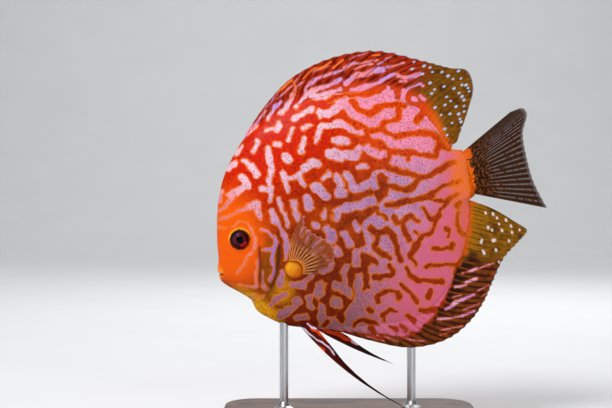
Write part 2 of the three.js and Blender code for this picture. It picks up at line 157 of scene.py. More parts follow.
print("the flank from belly to back is at most", (span_high - span_low).max().round(1), "mm deep")


# %% The section of the body
def width_at(x):
    back = np.clip((THICKEST_X - x) / (THICKEST_X - SNOUT_X), 0, 1)
    head = mix(BODY_HALF_WIDTH, SNOUT_HALF_WIDTH, back**2.1)
    along = np.clip((x - THICKEST_X) / (TAIL_STEM_X - THICKEST_X), 0, 1)
    tail = mix(PEDUNCLE_HALF_WIDTH, BODY_HALF_WIDTH, (1 + np.cos(np.pi * along)) / 2)
    return np.where(x < THICKEST_X, head, tail)


def rim_share(x, z):
    """0 at the body's centre and 1 on its outline."""
    dx, dz = x - CENTRE[0], z - CENTRE[1]
    return np.hypot(dx, dz) / rim_radius(np.arctan2(dz, dx))


def half_thickness(x, z):
    low, high = np.interp(x, span_x, span_low), np.interp(x, span_x, span_high)
    ridge = RIDGE_AT_CENTRE + (x - CENTRE[0]) * RIDGE_SLOPE
    ridge = np.clip(ridge, mix(low, high, 0.25), mix(low, high, 0.75))
    above = z > ridge
    reach = np.clip(np.where(above, (z - ridge) / (high - ridge), (ridge - z) / (ridge - low)), 0, 1)
    head_share, tail_share = 1 - ease(x, -58, -34), ease(x, 0, 50)
    upper = mix(FULLNESS["back"], FULLNESS["nape"], head_share)
    lower = mix(FULLNESS["belly"], FULLNESS["belly by the tail"], tail_share)
    lower = mix(lower, FULLNESS["throat"], head_share)
    section = mix(MIDLINE_SHARE, 1, (1 - reach * reach) ** np.where(above, upper, lower))
    outer = rim_share(x, z)
    rounded = np.sqrt(np.clip(1 - outer**FREE_RIM, 0, 1))
    thinned = np.minimum(rounded, np.clip(1 - outer**FINNED_RIM, 0, 1))
    finned = np.where(above, ease(x, -50, -25), ease(x, -30, -5)) * (1 - ease(x, 48, 54) * ease(z, 108, 116))
    return width_at(x) * section * mix(rounded, thinned, finned)


def flank_at(x, z):
    """Half the body's thickness at one place."""
    return half_thickness(np.array([x]), np.array([z]))[0]


print("half thickness at the centre:", round(flank_at(*CENTRE), 2), "mm")

# %% [markdown]
# ## Seeded noise
#
# Nothing alive is perfectly even, but the notebook has to give the same fish each time. So the noise comes
# from one table of random numbers with a fixed seed, read smoothly between its cells.

# %% Smooth noise over the side view
NOISE_SEED, NOISE_CELLS = 11, 128
noise_table = np.random.default_rng(NOISE_SEED).uniform(-1, 1, (NOISE_CELLS, NOISE_CELLS))


def noise(x, z, cell, shift=0.0):
    """Smooth noise from -1 to 1, with bumps about one cell wide."""
    u, v = x / cell + shift + 57.3, z / cell + 1.7 * shift + 31.9
    i, j = np.floor(u).astype(int), np.floor(v).astype(int)
    a, b = ease(u - i, 0, 1), ease(v - j, 0, 1)
    corner = lambda di, dj: noise_table[(i + di) % NOISE_CELLS, (j + dj) % NOISE_CELLS]
    return mix(mix(corner(0, 0), corner(1, 0), a), mix(corner(0, 1), corner(1, 1), a), b)


print("noise at the origin:", noise(0.0, 0.0, 5.0).round(3))

# %% [markdown]
# ## The markings
#
# The pattern is a maze of pale islands on red in front, and of red worms on pale behind. A procedural texture
# alone gives a maze, but not this fish's maze. So the markings are laid one by one, each as a line with a
# width in picture pixels, in the order that a painter would use: the ground, the pale islands, then the red
# worms over them. What is kept for each place is the distance to the nearest edge, and the materials turn
# that into crisp edges and soft halos.

# %% Where the ground is pale rather than red
PALE_GROUND = [
    (300, 103), (318, 97), (336, 93), (352, 92), (372, 90), (388, 88), (404, 92), (407, 103), (424, 112),
    (436, 126), (448, 142), (458, 149), (466, 156), (468, 175), (468, 196), (469, 202), (469, 218),
    (467, 236), (463, 252), (455, 266), (450, 285), (445, 296), (441, 305), (433, 316), (422, 328),
    (408, 336), (384, 337), (358, 333), (318, 330), (318, 322), (344, 312), (354, 299), (356, 272),
    (371, 262), (371, 206), (388, 196), (385, 113), (372, 114), (360, 111), (352, 103),
]
print("corners of the pale ground:", len(PALE_GROUND))

# %% Pale islands on the nape and the back
NAPE_ISLANDS = [
    (1.6, [(265, 111), (261, 117), (256, 123)]), (3.0, [(255, 126), (251, 130), (246, 135)]),
    (2.6, [(242, 147), (237, 153)]), (3.0, [(234, 163), (229, 169)]), (2.6, [(222, 192), (219, 200)]),
    (2.9, [(258, 142), (256, 148), (254, 152)]), (3.2, [(243, 161), (249, 165), (255, 171), (258, 175)]),
    (3.8, [(241, 177), (247, 184)]), (3.8, [(246, 188), (238, 192), (232, 195)]),
    (2.2, [(231, 200), (226, 206), (220, 211)]), (1.9, [(267, 119), (273, 110), (281, 102)]),
    (2.4, [(281, 114), (287, 107), (293, 96)]), (2.0, [(296, 107), (303, 98), (312, 90)]),
    (3.2, [(294, 118), (304, 114), (312, 109)]), (2.2, [(266, 131), (274, 130)]),
    (4.2, [(277, 131), (280, 126)]), (2.4, [(293, 130), (289, 141)]), (2.6, [(276, 145), (280, 146)]),
    (2.8, [(268.5, 149), (270, 158), (271.5, 170), (270, 180), (272, 192), (271, 200)]),
    (3.0, [(262, 190), (271, 191)]), (3.5, [(286, 157), (290, 161)]), (3.2, [(304, 140), (301.5, 151)]),
    (2.3, [(303, 129), (311, 125.5)]), (2.9, [(284, 175), (286, 184), (288, 191)]),
    (2.3, [(288, 180), (297, 177), (304, 171)]), (4.2, [(306, 168), (314, 163), (319, 165)]),
    (2.4, [(300, 176), (303, 185)]),
]
BACK_ISLANDS = [
    (4.2, [(320, 114.5), (330, 113), (338, 106), (346, 105), (354, 115), (362, 119), (371, 124),
        (375, 127)]), (4.2, [(376, 121), (386, 116), (394, 112)]),
    (3.2, [(316, 142), (319, 133), (321, 127)]),
    (3.2, [(321, 127), (331, 127), (341, 124), (349, 130), (357, 134), (362, 133)]),
    (3.4, [(333, 141), (346, 141.5)]), (3.6, [(374, 136), (382, 137), (390, 142), (400, 144)]),
    (4.6, [(329, 155), (341, 157), (352, 155), (362, 149), (368, 149), (376, 155), (384, 155)]),
    (2.8, [(357, 167), (366, 166)]), (2.8, [(346, 175), (348, 178)]), (3.0, [(323, 178), (328, 175)]),
    (3.4, [(375, 187), (374, 177), (384, 172), (392, 177)]),
    (3.0, [(350, 181), (354, 189), (362, 187), (371, 180)]),
]
print("islands:", len(NAPE_ISLANDS + BACK_ISLANDS))

# %% Pale islands on the flank and the belly
FLANK_ISLANDS = [
    (2.8, [(273, 212), (276, 221), (283, 232), (287, 241), (286, 257)]),
    (2.0, [(279.5, 199), (282, 207), (286, 217), (288.5, 226)]), (3.2, [(294, 202), (295, 211), (298, 218)]),
    (3.6, [(306.5, 197), (310, 207)]), (4.0, [(314, 185.5), (320, 191), (325, 197)]),
    (3.6, [(336, 177), (340, 186), (337, 194), (342, 193)]), (3.0, [(324, 211), (323, 216)]),
    (3.0, [(314, 225), (316.5, 225)]), (4.0, [(327, 228), (330, 234), (331, 239)]),
    (4.6, [(337, 218), (338, 210), (348, 208), (357, 206), (372, 201)]), (4.0, [(345, 233), (349, 242)]),
    (3.6, [(354.5, 223), (357, 229)]), (3.0, [(369, 252), (367, 236), (366, 222), (374, 219), (384, 222)]),
    (2.6, [(363, 248), (369, 249)]), (3.4, [(336, 249), (339, 254)]), (3.6, [(356, 252), (356, 263)]),
    (3.4, [(346, 266), (343, 272), (344, 280)]), (2.8, [(322, 271), (329, 267), (331, 262)]),
    (1.9, [(314, 253), (322, 247)]), (1.8, [(314, 246), (318, 240)]), (1.6, [(306, 241), (308, 231)]),
    (1.8, [(325, 254), (328, 260)]), (1.3, [(302, 236), (302, 228)]),
]
BELLY_ISLANDS = [
    (2.8, [(283, 272), (281, 283)]), (2.4, [(271, 304), (275, 298)]), (3.0, [(276, 298), (284, 294)]),
    (3.8, [(293, 283), (303, 284)]), (2.0, [(304, 281), (311, 275)]), (3.8, [(296.5, 300), (299, 301)]),
    (2.0, [(297, 303), (292, 308)]), (4.2, [(280, 315), (288, 310)]),
    (3.2, [(308, 297), (309, 303), (311, 307)]), (5.2, [(320, 284), (319, 292)]),
    (4.2, [(335, 284), (342, 287), (349, 294)]), (3.4, [(358, 275), (357, 288)]),
    (4.2, [(334, 300), (338, 305)]), (4.6, [(322, 308), (321, 316)]),
    (4.2, [(322, 318), (332, 322), (342, 326)]), (4.6, [(348, 322), (352, 312), (358, 305), (367, 300)]),
    (3.0, [(298, 318), (306, 316)]),
]
print("islands:", len(FLANK_ISLANDS + BELLY_ISLANDS))

# %% Fine pink and lilac lines of the head
FACE_LINES = [
    (1.4, [(221, 219.5), (229, 215.5), (238, 212.5)]), (2.2, [(238, 212), (248, 208)]),
    (4.2, [(251, 207), (256, 205)]), (2.4, [(258, 207), (261, 216)]),
    (0.9, [(233, 225.5), (240, 222), (247, 222), (252, 229)]), (1.4, [(252, 229), (256, 237), (257, 245)]),
    (2.0, [(257, 245), (254, 251), (250.5, 254)]), (1.1, [(250, 255), (244.5, 264), (238, 273)]),
    (1.5, [(262, 228.5), (268, 232), (274, 237), (276, 242)]),
    (1.7, [(276, 242), (273.5, 256), (274, 268), (271.5, 279)]), (1.2, [(262, 248.5), (274, 250)]),
    (1.1, [(259, 259), (257, 272), (256.5, 287)]), (0.9, [(256, 287), (248, 285), (240, 284)]),
    (1.2, [(263.5, 270), (263.5, 286)]), (1.5, [(264, 287), (269, 289)]),
    (0.7, [(251, 296), (258, 297), (265, 294)]), (0.7, [(217, 227.5), (228, 228)]),
]
print("face lines:", len(FACE_LINES))

# %% Red worms on the pale ground of the rear flank, and dark ones that run on into the anal fin
REAR_WORMS = [
    (2.0, [(300, 103), (313, 102), (325, 103), (335, 98), (345, 96), (360, 95), (374, 92.5), (384, 88),
        (396, 83)]), (1.5, [(321, 92), (331, 87), (342, 82)]), (1.6, [(346, 88), (356, 85), (369, 81)]),
    (2.0, [(396, 83), (397, 97)]),
    (2.8, [(352, 102), (358, 109), (366, 112.5), (373, 112), (380, 107), (391, 105), (404, 106)]),
    (2.4, [(380, 129), (384, 124), (392, 120.5), (398, 119), (398, 109)]), (3.2, [(416, 121), (422, 114)]),
    (2.3, [(366, 132), (380, 131), (388, 134), (396, 137)]), (3.1, [(396, 136.5), (410, 134), (425, 133)]),
    (3.0, [(425, 133), (436, 136), (443, 143), (448, 149)]),
    (2.6, [(372, 144), (381, 146), (389, 151), (396, 152.5)]),
    (2.8, [(395, 152), (410, 153.5), (425, 155.5), (434, 156), (437, 148), (441, 143)]),
    (2.0, [(408, 156), (408, 160)]), (2.4, [(389, 152), (388, 160), (380, 164), (370, 163)]),
    (2.6, [(388, 168), (397, 171), (412, 175)]),
    (2.8, [(412, 175), (425, 177), (437, 171), (447, 165), (455, 163)]),
    (2.9, [(380, 177), (380, 184), (392, 187), (403, 190.5), (412, 186.5), (416, 180)]),
    (3.3, [(387, 204.5), (400, 203), (412, 200.5), (424, 198), (431, 194)]),
    (2.5, [(431, 194), (440, 187), (450, 184), (460, 181)]), (1.9, [(430, 199), (441, 200.5)]),
    (2.3, [(422, 208), (426, 213), (430, 219), (437, 215), (443, 206), (449, 199), (456, 194)]),
    (2.7, [(438, 216), (434, 226), (429, 233), (422, 236), (418, 243), (412, 251), (410, 257), (414, 263)]),
    (2.9, [(393, 217), (395, 223), (402, 222), (409, 216), (417, 221)]),
    (2.6, [(402, 225), (405, 234), (409, 240)]), (2.0, [(414, 232), (417, 234)]),
    (2.7, [(371, 228), (376, 232), (386, 230), (392, 236)]),
    (2.5, [(392, 236), (396, 245), (396, 252), (400, 260)]),
    (2.7, [(376, 233), (376, 241), (374, 248), (382, 253), (389, 258)]),
    (2.2, [(363, 216), (370, 211), (376, 207), (377, 213), (382, 214), (385, 219)]),
    (2.0, [(444, 228), (449, 231), (448, 236)]), (2.3, [(433, 248), (442, 249), (449, 248)]),
    (2.9, [(450, 249), (452, 245)]), (1.8, [(426, 266), (440, 264.5), (456, 265), (471, 266)]),
    (2.6, [(362, 255), (368, 258), (375, 262)]), (2.3, [(354, 271), (360, 270), (364, 260)]),
    (2.6, [(364, 268), (366, 280), (364, 288)]), (2.8, [(367, 283), (368, 286)]),
    (2.7, [(374, 276), (383, 276), (392, 272), (389, 265)]),
    (2.7, [(377, 301), (377, 295), (386, 291), (396, 292), (399, 298)]),
    (2.5, [(401, 284), (405, 289), (411, 294), (416, 302)]), (2.7, [(369, 308), (371, 311)]),
    (2.4, [(382, 314), (388, 310), (396, 311)]), (1.4, [(383, 315), (384, 320)]),
    (2.3, [(408, 316), (414, 320.5)]), (2.8, [(428, 297), (430, 292)]),
    (2.2, [(406, 268), (409, 274), (416, 279), (428, 281), (440, 281)]), (2.9, [(440, 281), (442, 282)]),
    (2.2, [(421, 310), (433, 309.5), (442, 308), (447, 303)]),
    (2.3, [(447, 303), (450, 297), (455, 293), (463, 290), (472, 288)]), (1.7, [(390, 326), (396, 330)]),
    (1.4, [(401, 325), (406, 330)]), (1.5, [(411, 332), (422, 336), (436, 337)]),
    (2.3, [(354, 325), (358, 321), (367, 320.5), (377, 323)]), (1.9, [(370, 328), (374, 332)]),
    (2.6, [(426, 330), (434, 327), (446, 327), (458, 324), (468, 320)]),
    (2.1, [(436, 319), (442, 315), (452, 314), (462, 312), (472, 308)]),
    (2.3, [(455, 283), (459, 279), (464, 275), (472, 273)]),
    (1.3, [(381, 334), (391, 338), (405, 340), (420, 341)]), (2.8, [(455, 305), (462, 302), (470, 300)]),
    (2.6, [(457, 206), (459, 203)]), (2.5, [(458, 214), (457, 224), (461, 232), (469, 235)]),
    (2.2, [(474, 238), (475, 246), (477, 254)]), (2.6, [(339, 315), (341, 320), (341, 311), (336, 309)]),
    (2.4, [(328, 308), (332, 313)]), (2.6, [(324, 325), (327, 322)]),
]
ISLANDS = NAPE_ISLANDS + BACK_ISLANDS + FLANK_ISLANDS + BELLY_ISLANDS + FACE_LINES
print("markings:", len(ISLANDS), "islands and face lines,", len(REAR_WORMS), "worms")

# %% Distances to lines and areas, in picture pixels
OUTSIDE = -9.0  # what a field holds far away from every marking


def line_distance(px, py, line):
    """Distance to a bent line."""
    nearest = np.full(px.shape, np.inf)
    for (ax, ay), (bx, by) in zip(line, line[1:]):
        dx, dy = bx - ax, by - ay
        along = np.clip(((px - ax) * dx + (py - ay) * dy) / (dx * dx + dy * dy), 0, 1)
        nearest = np.minimum(nearest, np.hypot(px - ax - along * dx, py - ay - along * dy))
    return nearest


def soft_max(a, b, round_off=1.0):
    return (a + b + np.sqrt((a - b) ** 2 + round_off**2)) / 2


print("a soft maximum of 0 and 0:", soft_max(0, 0))


# %% Strokes and areas
def strokes(px, py, lines):
    """Above 0 inside any of the lines' own uneven width, and the distance to their edge."""
    field = np.full(px.shape, OUTSIDE)
    swell = 1 + 0.34 * noise(px, py, 8.5, 2) + 0.22 * noise(px, py, 3.6, 4)
    for width, line in lines:
        if len(line) > 2:
            line = curve_through(line, False, np.linspace(0, 1, 4 * (len(line) - 1) + 1))
        low, high = np.min(line, 0) - width - 7, np.max(line, 0) + width + 7
        near = (px > low[0]) & (px < high[0]) & (py > low[1]) & (py < high[1])
        if near.any():
            edge = width * swell[near] - line_distance(px[near], py[near], line)
            field[near] = soft_max(field[near], edge, 0.9)
    return field


def inside_area(px, py, area):
    """Above 0 inside a closed area, and the distance to its edge."""
    inside = np.zeros(px.shape, bool)
    for (ax, ay), (bx, by) in zip(area, area[1:] + area[:1]):
        if ay != by:
            inside ^= ((ay > py) != (by > py)) & (px < (bx - ax) * (py - ay) / (by - ay) + ax)
    edge = line_distance(px, py, area + area[:1])
    return np.where(inside, edge, -edge)


def near_line(px, py, line, width):
    """1 on a bent line, fading to 0 over about its width."""
    return np.exp(-((line_distance(px, py, line) / width) ** 2))


def thinner(lines, share):
    """The same lines with a share of their width."""
    return [(share * width, line) for width, line in lines]


eye_pixel = np.array([[241.0], [240.0]])
print("pixels from the eye to the pale ground:", -inside_area(*eye_pixel, PALE_GROUND).round(1))

# %% The markings' field at any place
WANDER = ((1.2, 5.6), (0.35, 2.1))  # how far an edge strays and over what length, in picture pixels
FAR_SIDE_WANDER = (5.0, 38)


def unsteady(px, py, far_side):
    """Places shifted a little, so that no edge is ruled. The far side's markings are drawn further askew."""

    def stray(*shifts):
        strays = ((FAR_SIDE_WANDER[0] * far_side, FAR_SIDE_WANDER[1]), *WANDER)
        return sum(reach * noise(px, py, cell, shift) for (reach, cell), shift in zip(strays, shifts))

    return px + stray(3, 5, 6), py + stray(9, 7, 8)


def markings(x, z, far_side, more_pale=()):
    """Above 0 where the skin is pale: picture pixels to the edge of the marking."""
    px, py = unsteady(*to_pixels(x, z), far_side)
    field = np.clip(inside_area(px, py, PALE_GROUND), -5, 5)
    field = soft_max(field, strokes(px, py, ISLANDS) + 0.3, 0.6)
    field = -soft_max(-field, strokes(px, py, REAR_WORMS) + 0.15, 0.6)
    return soft_max(field, strokes(*to_pixels(x, z), more_pale), 0.4) if more_pale else field


print("the field at the body's centre:", markings(*CENTRE.reshape(2, 1), 0.0).round(2))

# %% [markdown]
# ## Regions of colour
#
# A discus isn't one red. The nape is scarlet, the face orange, the throat golden, the belly rusty, the rear
# salmon, and the tail's stem bright orange. Each region is a soft spot: a number that fades from 1 inside to
# 0 outside. The materials read these numbers from the mesh and mix their colours by them.

# %% Soft spots over the side view
SPOTS = {  # centre and radii in picture pixels, and lean in degrees
    "face": ((231, 240), (45, 62), -12), "lip": ((216, 273), (9, 10), 0),
    "lilac": ((273, 254), (13, 34), 4), "gill": ((271, 266), (11, 36), 6),
    "throat": ((256, 307), (34, 15), 35), "chest": ((281, 289), (18, 16), 60),
    "tail stem": ((466, 172), (20, 38), 10), "dorsal foot": ((449, 134), (13, 40), -33),
}


def spot(px, py, name):
    """1 at the centre of a leaning oval, fading to 0 at its edge."""
    centre, radii, lean = SPOTS[name]
    c, s = np.cos(np.radians(lean)), np.sin(np.radians(lean))
    dx, dy = px - centre[0], py - centre[1]
    u, v = (dx * c + dy * s) / radii[0], (-dx * s + dy * c) / radii[1]
    return 1 - ease(np.hypot(u, v), 0.45, 1.15)


def regions(x, z):
    """Each colour region's share at a place of the side view."""
    px, py = to_pixels(x, z)
    wander = 5 * noise(px, py, 22, 2)
    lower = ease(py + 0.25 * (px - 330) + wander, 232, 300)
    found = {name: spot(px, py, name) for name in ("face", "lilac", "gill", "lip")}
    found["nape"] = 1 - ease(0.62 * px + py + wander, 320, 430)
    found["throat"] = np.maximum(spot(px, py, "throat"), 0.55 * spot(px, py, "chest"))
    found["belly"] = lower * (1 - ease(px, 345, 400))
    found["low"] = lower
    found["rear"] = ease(px + 0.35 * (py - 200) + wander, 396, 452)
    behind = ease(px - 0.15 * abs(py - 215) + wander, 438, 468)
    found["coral"] = behind * ease(py, 186, 206) * (1 - ease(py, 262, 300))
    found["stem"] = np.maximum(spot(px, py, "tail stem"), 0.85 * spot(px, py, "dorsal foot"))
    found["back"] = ease(px + 0.4 * (130 - py) + wander, 322, 372) * (1 - ease(py, 140, 190))
    return found


print("regions at the eye:", [name for name, share in regions(*to_fish(241, 240)).items() if share > 0])

# %% [markdown]
# ## Relief of the head
#
# The skin rises and sinks by fractions of a millimetre: the lips, the slit of the mouth, the rim round the
# eye, the nostril and the plates of the gill cover. They could be separate pieces, but real ones are one
# skin, so they are added to the skin's height along the same kind of hand-laid lines.

# %% Grooves, ridges and pits, in millimetres
EYE = {"x": -54.5, "z": 93.8, "radius": 4.7, "flatness": 0.72, "bulge": 2.1}
MOUTH_LINE = [(214, 272.6), (219, 273.8), (222.6, 274.8)]
GROOVES = [  # depth and width in mm, then the line in picture pixels
    (0.5, 0.55, [(279.5, 226), (280.5, 246), (279.5, 262), (276, 278), (270, 291)]),
    (0.32, 0.45, [(260.6, 240), (260.8, 262), (260.4, 288)]),
    (0.22, 0.45, [(260.4, 288), (252, 291.5), (242, 290.5)]),
    (0.25, 0.5, [(270, 291), (258, 300), (250, 300)]),
    (0.16, 0.4, [(228, 281), (236, 283), (246, 282)]),
]
# Painted shade in the folds of the head: the gill slit, the edges of the gill cover, the mouth and under the
# jaw.
SHADED_FOLDS = [  # how dark and how wide in picture pixels, then the line
    (0.5, 3.2, [(279.5, 250), (278.5, 264), (275.5, 278), (270, 290)]),
    (0.6, 1.3, [(279.8, 244), (278.5, 262), (276, 278)]),
    (0.78, 1.5, [(260.2, 247), (261, 262), (261.2, 280)]),
    (0.4, 2.6, [(262, 252), (262.5, 266), (262.5, 282)]),
    (0.3, 1.2, [(260.4, 288), (252, 291.5), (242, 290.5)]), (0.6, 0.9, MOUTH_LINE),
    (0.9, 1.0, MOUTH_LINE[:2]), (0.35, 1.3, [(248.5, 296.5), (256, 301), (266, 300)]),
    (0.3, 2.2, [(224, 282), (234, 289), (244, 295)]),
]
RIDGES = [
    (0.55, 1.6, [(276.4, 232), (277, 250), (275.8, 266), (271, 281)]),
    (0.3, 1.2, [(257.6, 244), (257.6, 266), (256.8, 284)]),
    (0.3, 1.8, [(266, 246), (266, 262), (265, 280)]),
]
print("grooves, creases and ridges:", len(GROOVES), len(SHADED_FOLDS), len(RIDGES))

# %% The rim of the eye, and the painted shade in the folds and round the eye
NOSTRIL, NOSTRIL_RADIUS = (-61.4, 86.4), 0.42
CHEEK, CHEEK_RADIUS = (-51, 84), 6.5
EYE_RIM = 0.55  # width in mm of the thin gold rim round the eye


def eye_surround(x, z):
    """The gold of the rim above the eye, and the painted shade in the socket where the ball meets the skin.
    """
    dx, dz = x - EYE["x"], z - EYE["z"]
    out = np.hypot(dx, dz) - EYE["radius"]
    upper = ease((dz - 0.35 * dx) / np.maximum(np.hypot(dx, dz), 1e-6), -0.1, 0.6)
    gold = upper * np.exp(-(((out - 0.65) / EYE_RIM) ** 2))
    # the second number is painted shade in the socket, where the ball sinks into the skin
    return gold, np.exp(-((np.minimum(out - 0.1, 0) / 0.3) ** 2)) * (out < 0.4)


def shaded_folds(x, z):
    """How dark the painted shade in a fold is, from 0 to 1."""
    px, py = to_pixels(x, z)
    folds = [depth * near_line(px, py, line, width) for depth, width, line in SHADED_FOLDS]
    return np.maximum.reduce(folds)


print("the darkest place of the mouth:", shaded_folds(*np.array(to_fish(214, 272.6)).reshape(2, 1)).round(2))


# %% The skin's relief
def dome(x, z, centre, radius):
    """1 at the centre, fading to 0 over about a radius."""
    return np.exp(-((np.hypot(x - centre[0], z - centre[1]) / radius) ** 2))


def relief(x, z):
    """How far the skin stands out of the smooth body, in mm."""
    px, py = to_pixels(x, z)
    from_mouth = line_distance(px, py, MOUTH_LINE) * PIXEL_MM
    height = 0.55 * np.exp(-(((from_mouth - 0.95) / 0.7) ** 2)) * ease(-px, -228, -221)
    height -= 1.3 * np.exp(-((from_mouth / 0.5) ** 2))
    for depth, width, line in GROOVES:
        height -= depth * near_line(px, py, line, width / PIXEL_MM)
    for rise, width, line in RIDGES:
        height += rise * near_line(px, py, line, width / PIXEL_MM)
    from_eye = np.hypot(x - EYE["x"], z - EYE["z"])
    height += 0.42 * np.exp(-(((from_eye - EYE["radius"] - 0.75) / 0.8) ** 2))
    height -= 2.6 * (1 - ease(from_eye, EYE["radius"] - 1.1, EYE["radius"] - 0.1))
    height -= 0.7 * dome(x, z, NOSTRIL, NOSTRIL_RADIUS)
    height += 0.5 * dome(x, z, CHEEK, CHEEK_RADIUS)
    return np.where(height > 0, height * (1 - ease(rim_share(x, z), 0.985, 0.998)), height)


print("relief in the nostril:", relief(*np.array(NOSTRIL).reshape(2, 1)).round(2), "mm")

# %% [markdown]
# ## Making meshes
#
# A mesh here is a grid of points joined by four-sided faces. Numbers that belong to each point, such as the
# markings' field, could be painted into a picture. Here they are stored on the mesh as attributes, which the
# materials read back by name, so that no picture has to be unfolded over the fish.

# %% A mesh from points, faces and named numbers
def make_piece(name, points, faces, numbers=None):
    mesh = bpy.data.meshes.new(name)
    mesh.from_pydata((np.asarray(points) * MM).tolist(), [], faces)
    for key, values in (numbers or {}).items():
        mesh.attributes.new(key, "FLOAT", "POINT").data.foreach_set("value", np.asarray(values, np.float32))
    mesh.polygons.foreach_set("use_smooth", [True] * len(mesh.polygons))
    piece = bpy.data.objects.new(name, mesh)
    bpy.context.scene.collection.objects.link(piece)
    print(f"{name}: {len(mesh.polygons)} faces")
    return piece


def grid_faces(first, rows, columns, closed=False):
    """Faces of a grid whose points are numbered row by row from first."""
    i, j = np.meshgrid(np.arange(rows - 1), np.arange(columns if closed else columns - 1), indexing="ij")
    k = (j + 1) % columns
    at = lambda row, column: (first + row * columns + column).ravel()
    return np.stack([at(i, j), at(i + 1, j), at(i + 1, k), at(i, k)], 1)


def weld(piece):
    """Joins points that lie within a thousandth of a millimetre, where two sides meet."""
    bpy.context.view_layer.objects.active = piece
    modifier = piece.modifiers.new("weld", "WELD")
    modifier.merge_threshold = 0.001 * MM
    with bpy.context.temp_override(object=piece, active_object=piece, selected_objects=[piece]):
        bpy.ops.object.modifier_apply(modifier=modifier.name)


print("faces of a grid of 3 rows of 4 points:", len(grid_faces(0, 3, 4)))

# %% [markdown]
# ## One skin over the whole body
#
# The skin is made of rings, from the middle of each flank out to the outline, where the two sides meet. Rings
# are closer at the outline, because the body turns away there, and columns are closer at the mouth.

# %% Rings and columns
RINGS, COLUMNS, MOUTH_ANGLE = 150, 900, np.radians(205.4)
FORWARD_LIMIT = -66.53  # the solid head's foremost place in mm, which no relief passes
even = np.linspace(0, 1, RINGS)
ring_share = 0.99 * (0.74 * even + 0.26 * (1 - (1 - even) ** 2.4))
ring_share = np.concatenate([ring_share[1:], [0.9935, 0.996, 0.998, 0.9992, 1.0]])
circle = np.linspace(0, 2 * np.pi, 4001)
density = 1 + 5 * np.exp(-(((circle - MOUTH_ANGLE) / 0.05) ** 2))
spacing = np.concatenate([[0], np.cumsum((density[1:] + density[:-1]) / 2)])
column_angle = np.interp(np.arange(COLUMNS) / COLUMNS, spacing / spacing[-1], circle)
print("rings:", len(ring_share), "columns:", COLUMNS)


# %% The skin's surface
def skin_side(side):
    """Points of one flank, ring by ring, pushed out along the surface by the relief."""
    share, angle = np.meshgrid(ring_share, column_angle, indexing="ij")
    reach = share * rim_radius(angle)
    x, z = CENTRE[0] + reach * np.cos(angle), CENTRE[1] + reach * np.sin(angle)
    y = half_thickness(x, z)
    surface = np.stack([x, y, z], -1)
    along = np.roll(surface, -1, 1) - np.roll(surface, 1, 1)
    outwards = np.gradient(surface, axis=0)
    normal = np.cross(outwards, along)
    normal[-1, :, 1] = 0
    normal /= np.linalg.norm(normal, axis=-1, keepdims=True) + 1e-12
    away = np.stack([x - CENTRE[0], y + 20, z - CENTRE[1]], -1)
    normal *= np.where((normal * away).sum(-1) < 0, -1, 1)[..., None]
    surface += normal * relief(x, z)[..., None]
    surface[..., 0] = np.maximum(surface[..., 0], FORWARD_LIMIT)
    surface[..., 1] *= side
    return surface, x, z


print("the skin reaches", skin_side(1)[0][..., 1].max().round(2), "mm to each side")

# %% What the skin's materials read at each point
def body_numbers(x, z, far_side, more_pale=()):
    """Everything that the materials need to know at a place of the side view."""
    gold, socket = eye_surround(x, z)
    # painted shade of the folds and of the eye's socket, kept as one number
    dark = np.maximum(shaded_folds(x, z), socket)
    return {"pale": markings(x, z, far_side, more_pale), "fold_shade": dark, "gold": gold, **regions(x, z)}


def make_skin():
    """Both flanks, each closed by a fan of faces at its middle, welded along the outline."""
    rows, points, faces, parts = len(ring_share), [], [], []
    for side in (-1, 1):
        surface, x, z = skin_side(side)
        first = sum(len(p) for p in points)
        points += [surface.reshape(-1, 3), [[CENTRE[0], side * flank_at(*CENTRE), CENTRE[1]]]]
        parts.append(body_numbers(np.append(x, CENTRE[0]), np.append(z, CENTRE[1]), float(side > 0)))
        middle = first + rows * COLUMNS
        fan = [(middle, first + i, first + (i + 1) % COLUMNS) for i in range(COLUMNS)]
        faces += [f[::-side] for f in grid_faces(first, rows, COLUMNS, closed=True).tolist() + fan]
    numbers = {key: np.concatenate([p[key].ravel() for p in parts]) for key in parts[0]}
    made = make_piece("skin", np.vstack(points), faces, numbers)
    weld(made)
    return made


skin = make_skin()
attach(skin, "root")
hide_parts("head", "lower_jaw", "gill_cover_left", "gill_cover_right", "torso", "tail_stem")

# %% [markdown]
# ## Fins
#
# A fin is a thin membrane carried by rays. Each ray leaves the body at a root point and ends at a tip point,
# so two matched curves, of roots and of tips, place every ray. Between them the sheet is a fine grid: across
# it u counts the rays, and along it v goes from 0 at the root to 1 at the margin. The sheet is thickest on
# each ray and thins towards the margin, and near the body it swells to meet the skin.

# %% A sheet between a curve of roots and a curve of tips
STEPS_PER_RAY = 8


def constant(value):
    """A function of u that is the same along the whole fin."""
    return lambda u: value + 0 * u


def ray_sheet(fin, u, v):
    """Places of a fin. Its bow(u) is how far a ray bends off its chord, as a share of its length."""
    start, end = curve_through(fin["roots"], False, u), curve_through(fin["tips"], False, u)
    chord = end - start
    lean = np.stack([-chord[:, 1], chord[:, 0]], -1) * fin["bow"](u)[:, None]
    v = v[..., None]
    return start + chord * v + lean * 4 * v * (1 - v)


def fin_grid(rays, rows, notch):
    """u and v of a fin's grid, and how close each column is to a ray, 1 on it and 0 half way between two."""
    u = np.linspace(0, 1, rays * STEPS_PER_RAY + 1)
    on_ray = 0.5 - 0.5 * np.cos(2 * np.pi * u * rays)
    uu, vv = np.meshgrid(u, np.linspace(0, 1, rows) ** 0.92)
    return u, uu, vv, vv * (1 - notch(u) * (1 - on_ray) ** 0.7), on_ray


print("grid of a fin with 12 rays and 20 rows:", fin_grid(12, 20, constant(0.0))[1].shape)


